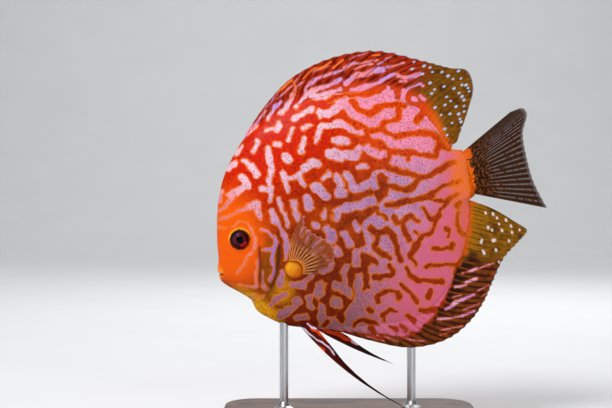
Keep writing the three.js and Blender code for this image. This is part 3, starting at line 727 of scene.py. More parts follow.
# %% A fin from its sheet
def fin_piece(name, node, fin):
    """A closed sheet: two faces that meet at the margin, the front and the rear edge."""
    u, uu, vv, reach, on_ray = fin_grid(fin["rays"], fin["rows"], fin["notch"])
    flat = ray_sheet(fin, u, reach)
    x, z = flat[..., 0], flat[..., 1]
    half = fin["thickness"](vv, on_ray[None] ** 1.6)
    to_edge, to_margin = np.minimum(uu, 1 - uu) * fin["rays"] * 2.5, (1 - vv) * 30
    half *= np.clip(to_edge, 0, 1) ** 0.5 * np.clip(to_margin, 0, 1) ** 0.5
    half = mix(np.minimum(half, 0.85 * half_thickness(x, z)), half, ease(rim_share(x, z), 0.9, 0.965))
    middle = np.stack([x, fin["sway"](x, z, uu, vv), z], -1)
    normal = np.cross(np.gradient(middle, axis=0), np.gradient(middle, axis=1))
    normal /= np.linalg.norm(normal, axis=-1, keepdims=True) + 1e-12
    faces, points = [], []
    for side in (-1, 1):
        points.append((middle + side * normal * half[..., None]).reshape(-1, 3))
        grid = grid_faces(0 if side < 0 else x.size, *x.shape)
        faces += [f[::side] for f in grid.tolist()]
    kept = {**fin["numbers"](x, z, vv), "across": uu * fin["rays"], "outward": vv}
    kept = {key: np.tile(np.broadcast_to(values, x.shape).ravel(), 2) for key, values in kept.items()}
    piece = make_piece(name, np.vstack(points), faces, kept)
    weld(piece)
    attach(piece, "root")
    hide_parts(node)
    return piece


# %% Roots and tips of the fins on the midline
DORSAL_ROOTS = [
    (-53, 141.5), (-44, 150.5), (-34, 157), (-22.5, 162.4), (-6, 166.8), (8, 167.6), (21, 165), (31, 160),
    (39, 152.5), (45, 144), (49.5, 137.6),
]
DORSAL_TIPS = [
    (-51.5, 147.6), (-41.5, 162), (-29.5, 174.5), (-10.5, 184.4), (13, 188.4), (36.5, 183.4), (50.5, 179.6),
    (58.5, 178.4), (61.6, 170), (59, 158.5), (53.4, 142.6),
]
ANAL_ROOTS = [
    (-14, 52), (1, 51), (15, 51.4), (28, 53.6), (38, 58), (46, 65.6), (52.2, 76), (56.4, 88), (58.2, 99),
    (58.4, 107), (59.2, 113.6),
]
ANAL_TIPS = [
    (-8, 48.6), (10, 43.2), (31, 39.6), (49.5, 44.2), (61, 53.6), (67.6, 63.4), (71.8, 73), (77.4, 84.6),
    (84.5, 92.6), (88.6, 98.4), (83.5, 101.7),
]
TAIL_ROOTS = [
    (54.5, 136.2), (55, 133.8), (55.8, 131.2), (56.6, 128.2), (57.4, 125), (58.4, 121.2), (59.6, 117),
]
TAIL_TIPS = [
    (80.5, 157.8), (86.5, 159.6), (88.5, 157), (86.4, 147), (88.4, 134.6), (92, 122.6), (98.8, 109.4),
]


def median_thickness(vv, on_ray):
    """Half the thickness in mm: fleshy at the root, then a ray standing out of its membrane."""
    return mix(0.26, 0.1, vv) + on_ray * mix(0.22, 0.1, vv) + 0.55 * (1 - ease(vv, 0.05, 0.5))


print("half thickness on a ray at root and margin:", median_thickness(np.array([0, 1]), 1), "mm")

# %% [markdown]
# ## Markings of the fins
#
# The dorsal fin carries pale streaks along its spines and small pale blue dots on its soft rear part. The
# anal fin has a dark margin with lilac streaks and a dotted lobe. Scattering them by noise would be quicker,
# but each fish's are its own, so they are laid one by one like the body's markings.

# %% Streaks and dots of the dorsal fin
DORSAL_STREAKS = [
    (1.0, [(264, 109), (268, 105), (272, 101), (275, 96), (279, 91)]),
    (1.5, [(267, 118), (272, 113), (275, 106), (281, 102)]),
    (1.0, [(277, 99), (283, 94), (288, 89), (292, 86), (296, 80), (300, 75), (304, 70), (309, 66),
        (313, 65)]), (2.2, [(281, 114), (287, 108), (291, 101), (292, 95)]),
    (1.5, [(292, 95), (296, 88), (300, 84), (304, 81)]),
    (2.1, [(297, 107), (301, 101), (305, 95), (306, 88), (310, 84), (315, 80)]),
    (1.8, [(315, 79), (322, 77), (330, 74), (340, 71), (348, 67), (352, 64)]),
    (1.1, [(313, 72), (318, 70), (324, 68), (330, 66)]),
    (2.7, [(312, 93), (319, 88), (326, 86), (334, 83), (340, 79)]),
    (3.0, [(310, 97), (320, 96), (330, 93), (340, 90)]), (2.2, [(344, 68), (350, 65), (354, 63)]),
    (1.1, [(350, 59), (357, 56), (364, 54), (367, 52.5)]), (0.6, [(344, 55), (348, 54), (352, 53)]),
    (1.5, [(355, 64), (362, 63), (370, 61), (377, 60)]), (1.5, [(354, 69), (360, 67), (366, 65), (372, 64)]),
    (1.3, [(378, 64), (383, 62), (386, 59), (391, 57)]),
    (3.2, [(346, 84), (352, 79), (358, 75), (366, 74), (374, 71), (382, 70)]),
    (1.7, [(387, 67.5), (394, 66), (400, 64), (404, 63)]),
    (2.2, [(385, 79), (390, 76), (394, 74), (398, 74)]),
    (2.4, [(398, 76), (406, 77.5), (414, 76), (420, 73.5)]),
    (3.0, [(352, 90), (362, 88), (370, 85.5), (378, 83), (383, 80)]),
    (3.2, [(388, 87), (389, 93), (391, 99)]), (2.2, [(402, 99), (404, 95), (403, 90)]),
    (1.7, [(400, 81.5), (406, 81)]),
    (2.0, [(404, 97), (406, 91), (410, 88), (415, 86), (420, 84), (423, 86)]),
    (3.6, [(413, 99), (416, 100)]), (3.2, [(420, 97), (424, 100)]), (1.0, [(409, 69.5), (415, 68)]),
]
ORANGE_STREAKS = [
    (1.3, [(279, 91), (284, 87), (289, 82), (292, 80)]), (1.1, [(303, 79), (308, 74), (312, 70), (316, 68)]),
    (1.5, [(319, 69), (325, 66), (331, 62)]), (1.6, [(333, 68), (338, 64), (343, 60)]),
    (1.2, [(372, 55.5), (380, 55)]), (1.0, [(294, 82), (296, 92), (290, 99)]),
]
DORSAL_DOTS = [
    (414, 62), (412, 69), (424, 66), (430, 67.5), (422.5, 74), (432.5, 72), (442, 72), (448, 76), (453, 79),
    (458.6, 71), (461, 78.5), (462, 85), (466, 85), (468, 88), (454, 88.5), (469, 91.5), (459, 93),
    (462, 96.5), (446.6, 97), (464, 100), (450.6, 101), (444, 86.5), (430, 83), (434.5, 89.5),
    (431.5, 93.5), (464, 106), (445, 105), (456, 106.6), (464, 111.6), (435, 107.6), (441, 115), (450, 114),
    (458.6, 114), (460, 119), (461, 122), (452, 123), (462, 127.7), (444.6, 129), (447, 135), (460.6, 134),
    (453, 145),
]
print("dorsal fin:", len(DORSAL_STREAKS + ORANGE_STREAKS), "streaks,", len(DORSAL_DOTS), "dots")

# %% Streaks and dots of the anal fin, and the shape of a dot
ANAL_STREAKS = [
    (2.0, [(462, 273), (470, 271), (477, 268)]), (1.4, [(478, 269), (485, 266), (494, 263)]),
    (2.6, [(466, 282), (476, 279)]), (1.8, [(455, 287), (466, 285)]),
    (1.1, [(477, 291), (484, 287.5), (490, 285)]), (1.3, [(453, 297), (461, 295)]),
    (2.6, [(456, 302), (466, 298), (474, 294.5)]), (2.8, [(446, 309), (452, 306), (455, 302)]),
    (1.1, [(463, 310), (473, 306), (480, 303)]), (2.0, [(438, 319), (452, 318), (464, 315), (474, 311)]),
    (1.5, [(441, 330), (452, 328), (462, 326)]), (0.8, [(440, 335), (448, 333)]),
    (0.6, [(481, 297), (487, 293)]), (0.6, [(491, 276), (496, 272)]),
    (1.1, [(384, 336), (392, 339), (398, 342)]), (1.2, [(402, 337), (412, 340), (424, 341)]),
    (0.9, [(366, 336), (376, 339), (384, 341)]),
]
ANAL_DOTS = [
    (478, 202), (485.5, 213), (493, 214), (497, 218), (506, 220), (499, 224), (511, 226), (488, 227.5),
    (492, 230), (502, 230.5), (519.6, 230), (512, 232.5), (493, 240.6), (495, 240), (481, 242), (482, 240),
    (509, 241), (484, 253), (483, 251), (496, 250), (499, 262),
]


def dots(px, py, centres, radius, lean):
    """Above 0 inside small dots, each drawn out along a line that leans by an angle in degrees."""
    c, s = np.cos(np.radians(lean)), np.sin(np.radians(lean))
    field = np.full(px.shape, OUTSIDE)
    for number, (cx, cy) in enumerate(centres):
        dx, dy = px - cx, py - cy
        size = radius * (0.85 + 0.3 * ((number * 7) % 5) / 4)
        field = np.maximum(field, size - np.hypot((dx * c + dy * s) / 1.45, -dx * s + dy * c))
    return field


print("anal fin:", len(ANAL_STREAKS), "streaks,", len(ANAL_DOTS), "dots")

# %% What the fin materials read from each fin
def marked_fin(x, z, pale, orange, dot_places, dot_radius, dot_lean):
    """A fin's streaks and dots over the body's numbers, and the distance out of the body's pale ground."""
    px, py = to_pixels(x, z)
    made = body_numbers(x, z, 0.0, pale)
    made["orange"] = strokes(px, py, orange)
    made["dots"] = dots(px, py, dot_places, dot_radius, dot_lean)
    ragged = 2.5 * noise(px, py, 5, 12) + 2 * noise(px, py, 2.3, 13)
    return made, ragged - inside_area(px, py, PALE_GROUND)


def dorsal_numbers(x, z, vv):
    px, py = to_pixels(x, z)
    made, out = marked_fin(
        x, z, thinner(DORSAL_STREAKS, 0.95), thinner(ORANGE_STREAKS, 0.7), DORSAL_DOTS, 1.25, -28)
    made["olive"] = ease(px + 0.35 * (py - 80) + 4 * noise(px, py, 9, 4), 404, 436)
    made["dark"] = ease(out, -3, 4) * ease(vv, 0.08, 0.3)
    return made


def anal_numbers(x, z, vv):
    px, py = to_pixels(x, z)
    made, out = marked_fin(x, z, thinner(ANAL_STREAKS, 0.66), [], ANAL_DOTS, 1.35, 70)
    made["olive"] = ease(-py + 0.2 * (px - 490) + 4 * noise(px, py, 9, 4), -266, -252)
    made["dark"] = ease(out, 0.5, 7 - 4 * ease(py, 250, 270))
    return made


def tail_numbers(x, z, vv):
    px, py = to_pixels(x, z)
    made = body_numbers(x, z, 0.0)
    ragged = 3 * noise(px, py, 6, 4) + 2.5 * noise(px, py, 2.2, 5)
    made["dark"] = ease(px - 0.12 * (py - 176) + ragged, 467, 479)
    return made


print("numbers on the tail:", list(tail_numbers(*CENTRE.reshape(2, 1), 0)))

# %% The three fins on the midline
FINS = {
    "dorsal": {
        "roots": DORSAL_ROOTS, "tips": DORSAL_TIPS, "bow": constant(0.07), "rays": 40, "rows": 90,
        "sway": lambda x, z, u, v: 0.55 * v**2 * np.sin(9 * u + 2.2 * v) * ease(u, 0.1, 0.5),
        "numbers": dorsal_numbers, "notch": lambda u: 0.035 * (1 - ease(u, 0.45, 0.7)),
    },
    "anal": {
        "roots": ANAL_ROOTS, "tips": ANAL_TIPS, "bow": lambda u: mix(-0.05, 0.05, u**6),
        "rays": 37, "rows": 72,
        "sway": lambda x, z, u, v: 0.6 * v**2 * np.sin(8 * u + 2 * v),
        "numbers": anal_numbers, "notch": lambda u: 0.025 * (1 - ease(u, 0.7, 0.9)),
    },
    "tail": {
        "roots": TAIL_ROOTS, "tips": TAIL_TIPS, "bow": constant(0.0), "rays": 26, "rows": 110,
        "sway": lambda x, z, u, v: 0.8 * v**1.5 * np.sin(7 * u + 1),
        "numbers": tail_numbers, "notch": constant(0.008),
    },
}
fins = {}
for name, fin in FINS.items():
    fins[name] = fin_piece(name, name + "_fin", {**fin, "thickness": median_thickness})

# %% [markdown]
# ## Pectoral and pelvic fins
#
# The pectoral fin is a clear fan that stands out from the flank. The pelvic fins are narrow blades, drawn out
# into a filament. They could be bent by hand after a flat start, but they are the same kind of sheet as the
# fins above, with the sideways place worked out from the flank that each grows on.

# %% Pectoral fans
PECTORAL_ROOTS = [
    (-30.4, 83), (-28.8, 83.6), (-27, 83.6), (-25.2, 82.8), (-24, 81.4), (-23.4, 79.4), (-23.6, 77),
]
PECTORAL_TIPS = [
    (-22.6, 107), (-22.2, 101), (-18, 97.2), (-12, 94.2), (-7.6, 89.6), (-9, 82.8), (-17.4, 76.6),
]
LOBE_CENTRE, LOBE_LONG, LOBE_SHORT, LOBE_RISE = (-28.0, 79.4), 5.184, 4.508, 1.248  # all in mm
LOBE_LEAN = np.radians(42)
PECTORAL_FLARE = 0.42


def pectoral_sway(side):
    """Sideways places of a fan that leaves the flank at a slant."""
    (ax, az), (bx, bz) = PECTORAL_ROOTS[0], PECTORAL_ROOTS[-1]
    out_x, out_z = np.array([az - bz, bx - ax]) / np.hypot(bx - ax, bz - az)

    def sway(x, z, uu, vv):
        away = (x - ax) * out_x + (z - az) * out_z
        wave = 0.35 * vv**2 * np.sin(12 * uu)
        return side * (flank_at(*LOBE_CENTRE) + 0.9 + PECTORAL_FLARE * away - 0.006 * away**2 + wave)

    return sway


def side_fin_thickness(vv, on_ray):
    return mix(0.14, 0.06, vv) + on_ray * mix(0.16, 0.07, vv) + 0.14 * (1 - ease(vv, 0.0, 0.2))


for name, side in (("left", -1), ("right", 1)):
    fins["pectoral_" + name] = fin_piece("pectoral_" + name, "pectoral_fin_" + name, {
        "roots": PECTORAL_ROOTS, "tips": PECTORAL_TIPS, "bow": lambda u: mix(0.1, -0.04, u),
        "rays": 13, "rows": 60, "sway": pectoral_sway(side), "thickness": side_fin_thickness,
        "numbers": lambda *places: {}, "notch": constant(0.05),
    })

# %% Pelvic blades
PELVIC = {
    "left": {
        "roots": [(-25.6, 51.6), (-24.2, 52.6), (-22.6, 53.6), (-21, 54)],
        "tips": [(29, 10.4), (13.5, 19.2), (1.5, 28.4), (-6.2, 36.4)], "swing": (-3.4, -7.5),
        "bow": lambda u: mix(-0.058, 0.03, u),
    },
    "right": {
        "roots": [(-22.4, 51.8), (-21.4, 52.8), (-20.2, 53.4), (-19, 53.8)],
        "tips": [(23.2, 30), (12, 35.6), (4.5, 40.4), (-1, 44.8)], "swing": (3.4, 6.0),
        "bow": lambda u: mix(-0.03, 0.02, u),
    },
}
PELVIC_WHITE = [
    (0.7, [(297, 322), (306, 330), (318, 339), (335, 352)]), (0.8, [(307, 323), (323, 330)]),
    (1.1, [(352, 343), (358, 346)]), (0.8, [(386, 363), (396, 367)]),
]
PELVIC_ORANGE = [
    (1.2, [(301, 328), (308, 336), (316, 344), (324, 350)]), (2.0, [(325, 331), (338, 336), (352, 343)]),
    (1.0, [(312, 327), (326, 338), (340, 350)]),
]


def pelvic_numbers(x, z, vv):
    px, py = unsteady(*to_pixels(x, z), 0)
    return {"pale": strokes(px, py, PELVIC_WHITE), "orange": strokes(px, py, PELVIC_ORANGE)}


def pelvic_sway(start, reach):
    """Sideways places of a blade that swings out by reach."""
    return lambda x, z, uu, vv: start + reach * vv * (1 - 0.35 * uu)


for name, blade in PELVIC.items():
    fins["pelvic_" + name] = fin_piece("pelvic_" + name, "pelvic_fin_" + name, {
        **blade, "sway": pelvic_sway(*blade["swing"]), "rays": 6, "rows": 110,
        "thickness": side_fin_thickness, "numbers": pelvic_numbers, "notch": constant(0.0),
    })

# %% [markdown]
# ## Round pieces
#
# Two kinds of piece are round: the fleshy lobe that carries each pectoral fan, and the eyeballs. Both could
# start from Blender's own sphere, but here they are rings round an axis, made by one function, so that each
# ring's place can be changed by a formula and numbers can be stored along the way.

# %% Rings round an axis, closed to a piece
def ball_rings(columns, rows):
    """Angles round the axis, and up from the middle ring."""
    turn = np.linspace(0, 2 * np.pi, columns, endpoint=False)
    return np.meshgrid(turn, np.linspace(-np.pi / 2, np.pi / 2, rows))


def ball_piece(name, x, y, z, side, numbers, node):
    faces = [f[::side] for f in grid_faces(0, *x.shape, closed=True).tolist()]
    kept = {key: values.ravel() for key, values in numbers.items()}
    piece = make_piece(name, np.stack([x, y, z], -1).reshape(-1, 3), faces, kept)
    weld(piece)
    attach(piece, "root")
    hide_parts(node)
    return piece


# %% The fleshy lobe that carries each pectoral fan
def make_lobe(name, side):
    """A leaning oval that swells smoothly out of the flank."""
    t, r = ball_rings(48, 25)
    long, short = LOBE_LONG * np.cos(r) * np.cos(t), LOBE_SHORT * np.cos(r) * np.sin(t)
    x = LOBE_CENTRE[0] + long * np.cos(LOBE_LEAN) + short * np.sin(LOBE_LEAN)
    z = LOBE_CENTRE[1] - long * np.sin(LOBE_LEAN) + short * np.cos(LOBE_LEAN)
    crown = np.clip(np.sin(r), 0, 1)
    y = side * (flank_at(*LOBE_CENTRE) - 0.35 + LOBE_RISE * np.where(r > 0, crown**1.3, np.sin(r)))
    node = "pectoral_fin_" + name
    return ball_piece("pectoral_lobe_" + name, x, y, z, side, {"crown": crown}, node)


lobes = [make_lobe("left", -1), make_lobe("right", 1)]

# %% [markdown]
# ## Eyes
#
# A fish's eye has no lids: a round ball sits in a ring of skin, with a dark iris and a pupil that bulges. A
# half ball would do, but a whole one sinks into the socket without an edge. Its rings lie round its own axis,
# so that the iris and the pupil can follow their distance from that axis.

# %% Eyeballs
PUPIL_RADIUS = 1.95


def make_eye(name, side):
    middle = flank_at(EYE["x"], EYE["z"]) + EYE["bulge"] - EYE["radius"] * EYE["flatness"]
    t, r = ball_rings(72, 72)
    from_axis = EYE["radius"] * np.cos(r)
    dent = 0.10 * np.exp(-(((from_axis - PUPIL_RADIUS) / 0.35) ** 2)) * (r > 0)
    x, z = EYE["x"] + from_axis * np.cos(t), EYE["z"] + from_axis * np.sin(t)
    y = side * (middle + EYE["radius"] * EYE["flatness"] * np.sin(r) - dent)
    numbers = {"from_axis": from_axis, "turn_sin": np.sin(t), "turn_cos": np.cos(t)}
    return ball_piece("eyeball_" + name, x, y, z, side, numbers, "eye_" + name)


eyes = [make_eye("left", -1), make_eye("right", 1)]

# %% [markdown]
# ## Shader sums in Python
#
# A material is a web of nodes. To write one as a sum, a small class wraps a node's output, and Python's
# own operators add the Math nodes. Every other node comes from one method.

# %% A wrapped socket
class Wire:
    """A node's output, for use in sums. Colours go through blend(), because a Math node turns them grey."""

    tree = None

    def __init__(self, socket):
        self.socket = socket

    @classmethod
    def node(cls, kind, settings=None, inputs=None, output=0):
        made = cls.tree.nodes.new("ShaderNode" + kind)
        for name, value in (settings or {}).items():
            setattr(made, name, value)
        for name, value in (inputs or {}).items():
            if isinstance(value, Wire):
                cls.tree.links.new(value.socket, made.inputs[name])
            else:
                made.inputs[name].default_value = value
        return cls(made.outputs[output])

    def __add__(self, other):
        return maths("ADD", self, other)

    __radd__ = __add__

    def __mul__(self, other):
        return maths("MULTIPLY", self, other)

    __rmul__ = __mul__

    def __sub__(self, other):
        return maths("SUBTRACT", self, other)

    def __rsub__(self, other):
        return maths("SUBTRACT", other, self)


operators = sorted(name for name in vars(Wire) if name.endswith(("add__", "sub__", "mul__")))
print("operators on a wrapped socket:", operators)


# %% Numbers read from the mesh
def maths(operation, a, b=0.0):
    return Wire.node("Math", {"operation": operation}, {0: a, 1: b})


def stored(name):
    """A number kept on the mesh."""
    return Wire.node("Attribute", {"attribute_name": name}, output="Fac")


def between(value, low, high):
    """0 where value is under low, 1 where it is over high."""
    return Wire.node("MapRange", {"interpolation_type": "SMOOTHSTEP"}, {0: value, 1: low, 2: high})


def ray_line(steps=1.0):
    """1 on each fin ray and 0 half way between two. steps counts the branches of a ray."""
    return maths("PINGPONG", stored("across") * steps, 0.5) * 2.0


# %% Colours and textures
def colour(red, green, blue):
    """A colour given as screen values from 0 to 255."""
    values = [v / 255 for v in (red, green, blue)]
    linear = [v / 12.92 if v <= 0.04045 else ((v + 0.055) / 1.055) ** 2.4 for v in values]
    return (*linear, 1.0)


def blend(a, b, share):
    """Colour a, turned into colour b by a share from 0 to 1."""
    return Wire.node("Mix", {"data_type": "RGBA"}, {0: share, 6: a, 7: b}, output=2)


def layered(base, *layers):
    """base under layers of paint, each given as screen values and the share that it covers."""
    for values, share in layers:
        base = blend(base, colour(*values), share)
    return base


def place_in_mm(stretch=(1, 1, 1)):
    """The object's own place in millimetres. stretch squeezes it along x, y and z."""
    place = Wire.node("TexCoord", output="Object")
    return Wire.node("Mapping", {}, {"Vector": place, "Scale": [1000 * s for s in stretch]})


def cloud(scale, detail=3.0, stretch=(1, 1, 1), roughness=0.5):
    """Noise, about 0 to 1."""
    inputs = {"Vector": place_in_mm(stretch), "Scale": scale, "Detail": detail, "Roughness": roughness}
    return Wire.node("TexNoise", {}, inputs)


def cells(scale):
    """Distance to the nearest of many scattered points."""
    return Wire.node("TexVoronoi", {}, {"Vector": place_in_mm(), "Scale": scale}, "Distance")


def mm_along(axis):
    """The object's own place along one axis, in millimetres."""
    return Wire.node("SeparateXYZ", inputs={"Vector": place_in_mm()}, output=axis)


def bump(height, strength, depth_mm):
    inputs = {"Height": height, "Strength": strength, "Distance": depth_mm * MM}
    return Wire.node("Bump", {}, inputs, "Normal")


print("orange as linear light:", [round(v, 3) for v in colour(238, 122, 26)])


# %% A material from a recipe
def finish_of(name, recipe, constants):
    """recipe() gives what changes over the surface, by socket name. constants are the same all over it."""
    material = bpy.data.materials.new(name)
    material.use_nodes = True
    Wire.tree = material.node_tree
    principled = next(n for n in Wire.tree.nodes if n.type == "BSDF_PRINCIPLED")
    for socket, value in constants.items():
        principled.inputs[socket].default_value = value
    for socket, wire in recipe().items():
        Wire.tree.links.new(wire.socket, principled.inputs[socket])
    print("material:", name, len(Wire.tree.nodes), "nodes")
    return material


def wear(piece, material):
    piece.data.materials.clear()
    piece.data.materials.append(material)


# %% [markdown]
# ## The skin's colours
#
# Two colours are mixed for each region, the ground and the pale marking, and then the markings' field
# chooses between them. A thin orange halo lies on each edge, small dark dots pepper the pale parts, and rows
# of small scales, laid like roof tiles, catch the light, with painted shade just behind each scale's edge.

# %% Ground and marking colours by region
GROUND_COLOURS = {
    "low": (138, 42, 2), "nape": (218, 30, 2), "belly": (120, 34, 3), "back": (226, 66, 4),
    "rear": (164, 46, 3), "stem": (240, 104, 6), "face": (242, 92, 4), "throat": (238, 164, 6),
    "gill": (150, 74, 4), "coral": (214, 92, 10),
}
PALE_COLOURS = {
    "low": (204, 120, 144), "nape": (246, 196, 214), "belly": (166, 108, 118), "back": (250, 148, 178),
    "rear": (222, 104, 134), "coral": (232, 104, 84), "stem": (242, 116, 56), "face": (240, 128, 120),
    "lilac": (176, 128, 206),
}


print("regions with a ground colour:", len(GROUND_COLOURS), "and with a pale one:", len(PALE_COLOURS))


# %% Ground and pale colour anywhere on the body
def body_colours():
    """The ground's colour and the pale marking's colour."""
    patchy = between(cloud(0.13, 2), 0.38, 0.64)
    ground = blend(colour(142, 42, 0), colour(178, 64, 0), patchy)
    pale = blend(colour(184, 132, 180), colour(206, 152, 190), patchy)
    for region, values in GROUND_COLOURS.items():
        ground = blend(ground, colour(*values), stored(region))
    for region, values in PALE_COLOURS.items():
        pale = blend(pale, colour(*values), stored(region))
    return ground, pale


# %% Rows of scales
SCALE_PITCH = (1.5, 1.15)  # along and across the body, in mm
SWIM_TILT = np.radians(14)


def scale_height():
    """0 just behind the edge of a scale, rising to 1 at the next edge."""
    x, z = mm_along("X"), mm_along("Z")
    along = (x * np.cos(SWIM_TILT) + z * np.sin(SWIM_TILT)) * (1 / SCALE_PITCH[0])
    across = (z * np.cos(SWIM_TILT) - x * np.sin(SWIM_TILT)) * (1 / SCALE_PITCH[1])
    row = maths("FLOOR", across)
    off_middle = across - row - 0.5
    shift = maths("PINGPONG", row, 1.0) * 0.5 + (cloud(0.25, 1) - 0.5) * 1.2
    return maths("FRACT", along + shift + off_middle * off_middle * 1.3)


print("scales from snout to tail stem:", round((TAIL_STEM_X - SNOUT_X) / SCALE_PITCH[0]))

# %% The skin's colour and finish
def frayed(field):
    """The markings' field with finely frayed edges."""
    return field + (cloud(2.2, 2) - 0.5) * 2.2 + (cloud(0.8, 2) - 0.5) * 1.4


def patterned(ground, pale, field, scaly, orange=(238, 122, 26)):
    """Ground and pale marking with an orange glow between them, crossed by painted shade just behind each
    scale's edge.
    """
    glow = between(field, -1.1, 0.0) * between(field, 1.5, 0.5)
    mixed = blend(ground, pale, between(field, 0.05, 0.85))
    # painted shade just behind each scale's edge, where the scale in front overlaps it
    edge = between(scale_height(), 0.34, 0.02) * scaly
    return layered(mixed, (orange, glow * 0.6), ((120, 24, 14), edge * 0.42))


def skin_colour():
    ground, pale = body_colours()
    upper = between(stored("rear"), 0.8, 0.1)
    speckle = between(cells(1.6), 0.46, 0.26) * between(cloud(0.5, 1), 0.34, 0.5)
    pale = layered(pale, ((96, 14, 62), speckle * (upper * 0.62 + 0.15)))
    fleck = between(cells(1.3), 0.34, 0.16) * between(cloud(0.5, 1), 0.44, 0.6)
    rusty = between(cloud(0.9, 3), 0.48, 0.7) * (1 - stored("face"))
    ground = layered(ground, ((234, 128, 30), fleck * 0.5), ((96, 16, 0), rusty * 0.6))
    scaly = (1 - stored("face")) * (1 - stored("nape")) * (1 - stored("throat"))
    return layered(
        patterned(ground, pale, frayed(stored("pale")), scaly),
        ((250, 156, 50), stored("lip") * 0.7),
        ((238, 176, 40), stored("gold") * 0.9),
        # painted shade in the folds of the head and round the eye's socket
        ((48, 8, 4), stored("fold_shade")),
    )


def skin_recipe():
    scaly = scale_height() * (1 - stored("face"))
    return {
        "Base Color": skin_colour(),
        "Roughness": between(cloud(0.5, 3), 0.2, 0.8) * 0.16 + 0.36,
        "Normal": bump(scaly + cloud(1.6, 3) * 0.5, 0.4, 0.09),
    }


WET = {"Coat Weight": 0.03, "Coat Roughness": 0.15, "Specular IOR Level": 0.06}
wear(skin, finish_of("wet_skin", skin_recipe, WET))

# %% [markdown]
# ## The fins' colours
#
# Near the body a fin carries the body's own pattern, and further out its own dark ground with pale streaks
# along the rays, then dots. The rays are lines of colour as well as ridges. The pectoral fan is clear: its
# material lets light through between the rays.

# %% Fins on the midline
MEDIAN_PAINT = {  # screen values
    "dorsal": {
        "dark": (112, 16, 2), "ray": (196, 50, 8), "soft": (142, 88, 4), "soft ray": (82, 48, 0),
        "streak": (238, 138, 150), "dot": (186, 200, 226),
    },
    "anal": {
        "dark": (34, 14, 1), "ray": (132, 62, 8), "soft": (160, 104, 4), "soft ray": (84, 50, 0),
        "streak": (230, 172, 196), "dot": (226, 210, 200),
    },
}


print("painted fins:", list(MEDIAN_PAINT))


# %% A fin's pattern
def ridged(lines):
    """Gloss and relief of a fin whose rays are lines."""
    return {
        "Roughness": between(cloud(0.6, 2), 0.2, 0.8) * 0.15 + 0.38,
        "Normal": bump(lines + cloud(1.4, 3) * 0.5, 0.4, 0.08),
    }


def median_recipe(paint):
    """The body's pattern near the body, then the fin's own dark ground with its rays, streaks and dots."""
    ground, pale = body_colours()
    dark, out = stored("dark"), stored("outward")
    branch = between(ray_line(2.0), 0.35, 0.95) * between(out, 0.25, 0.5)
    lines = maths("MAXIMUM", between(ray_line(), 0.5, 0.95), branch * 0.8) * between(cloud(0.3, 2), 0.2, 0.6)
    spiny = layered(colour(*paint["dark"]), (paint["ray"], lines))
    patchy = between(cloud(0.16, 3), 0.5, 0.68) * 0.8
    soft = layered(colour(*paint["soft"]), (paint["soft ray"], lines), ((64, 30, 2), patchy))
    streak = layered(colour(*paint["streak"]), ((206, 150, 214), between(cloud(0.09, 1), 0.46, 0.62)))
    ground = blend(ground, blend(spiny, soft, stored("olive")), dark)
    mixed = patterned(ground, blend(pale, streak, dark), frayed(stored("pale")), 1 - dark, (176, 66, 12))
    split = between(ray_line(), 0.3, 0.08) * between(cloud(0.35, 2), 0.36, 0.5)
    return {
        "Base Color": layered(
            mixed,
            ((84, 12, 1), split * between(out, 0.12, 0.4) * 0.6),
            ((248, 118, 44), between(stored("orange"), -0.5, 0.6)),
            (paint["dot"], between(stored("dots"), -0.35, 0.5) * 0.92),
            (paint["dot"], between(out, 0.975, 0.995) * 0.35),
        ),
        "Alpha": 1 - between(out, 0.965, 1.0) * 0.35,
        **ridged(lines),
    }


for name, paint in MEDIAN_PAINT.items():
    wear(fins[name], finish_of(name + "_fin", lambda: median_recipe(paint), WET))


# %% The tail: mottled by the stem, then pale dashes between the rays
def along_rays(scale_across, scale_outward, detail=2.0):
    """Noise laid out along a fin's rays instead of in space."""
    place = Wire.node("CombineXYZ", inputs={
        "X": stored("across") * scale_across, "Y": stored("outward") * scale_outward})
    return Wire.node("TexNoise", {}, {"Vector": place, "Scale": 1.0, "Detail": detail})


def tail_recipe():
    out = stored("outward")
    line = between(ray_line(2.0), 0.3, 0.9)
    blotch = between(along_rays(0.8, 26.0), 0.46, 0.6)
    near = layered(colour(30, 12, 1), ((128, 66, 6), blotch * 0.8), ((62, 30, 4), line * 0.4))
    far = layered(colour(34, 17, 4), ((92, 52, 11), line * 0.7))
    crowded = between(stored("across"), 4.0, 9.0) * 0.75 + 0.25
    gap = between(ray_line(), 0.26, 0.06) * between(along_rays(1.7, 22.0, 1.0), 0.36, 0.46)
    dash = gap * between(out + (cloud(0.3, 2) - 0.5) * 0.5, 0.26, 0.5) * between(out, 0.985, 0.95)
    own = layered(
        blend(near, far, between(out, 0.3, 0.62)),
        ((146, 146, 164), dash * crowded * 0.66),
        ((98, 84, 84), between(out, 0.94, 0.985) * 0.7),
    )
    stem = patterned(*body_colours(), frayed(stored("pale")), 1.0)
    return {
        "Base Color": blend(stem, own, between(stored("dark") + (cloud(0.9, 3) - 0.5) * 1.2, 0.25, 0.6)),
        "Alpha": 1 - between(out, 0.93, 1.0) * 0.45,
        **ridged(line),
    }


wear(fins["tail"], finish_of("tail_fin", tail_recipe, WET))

# %% [markdown]
# ## The side fins' colours
#
# A pectoral fan is clear between its rays, so the flank shows through it. Glass would do that too, but it
# bends light, which so thin a skin doesn't. Alpha only lets the flank through, more between the rays than on
# them. The pelvic blades are dark red with an orange and a white streak, and nearly black near their tips.

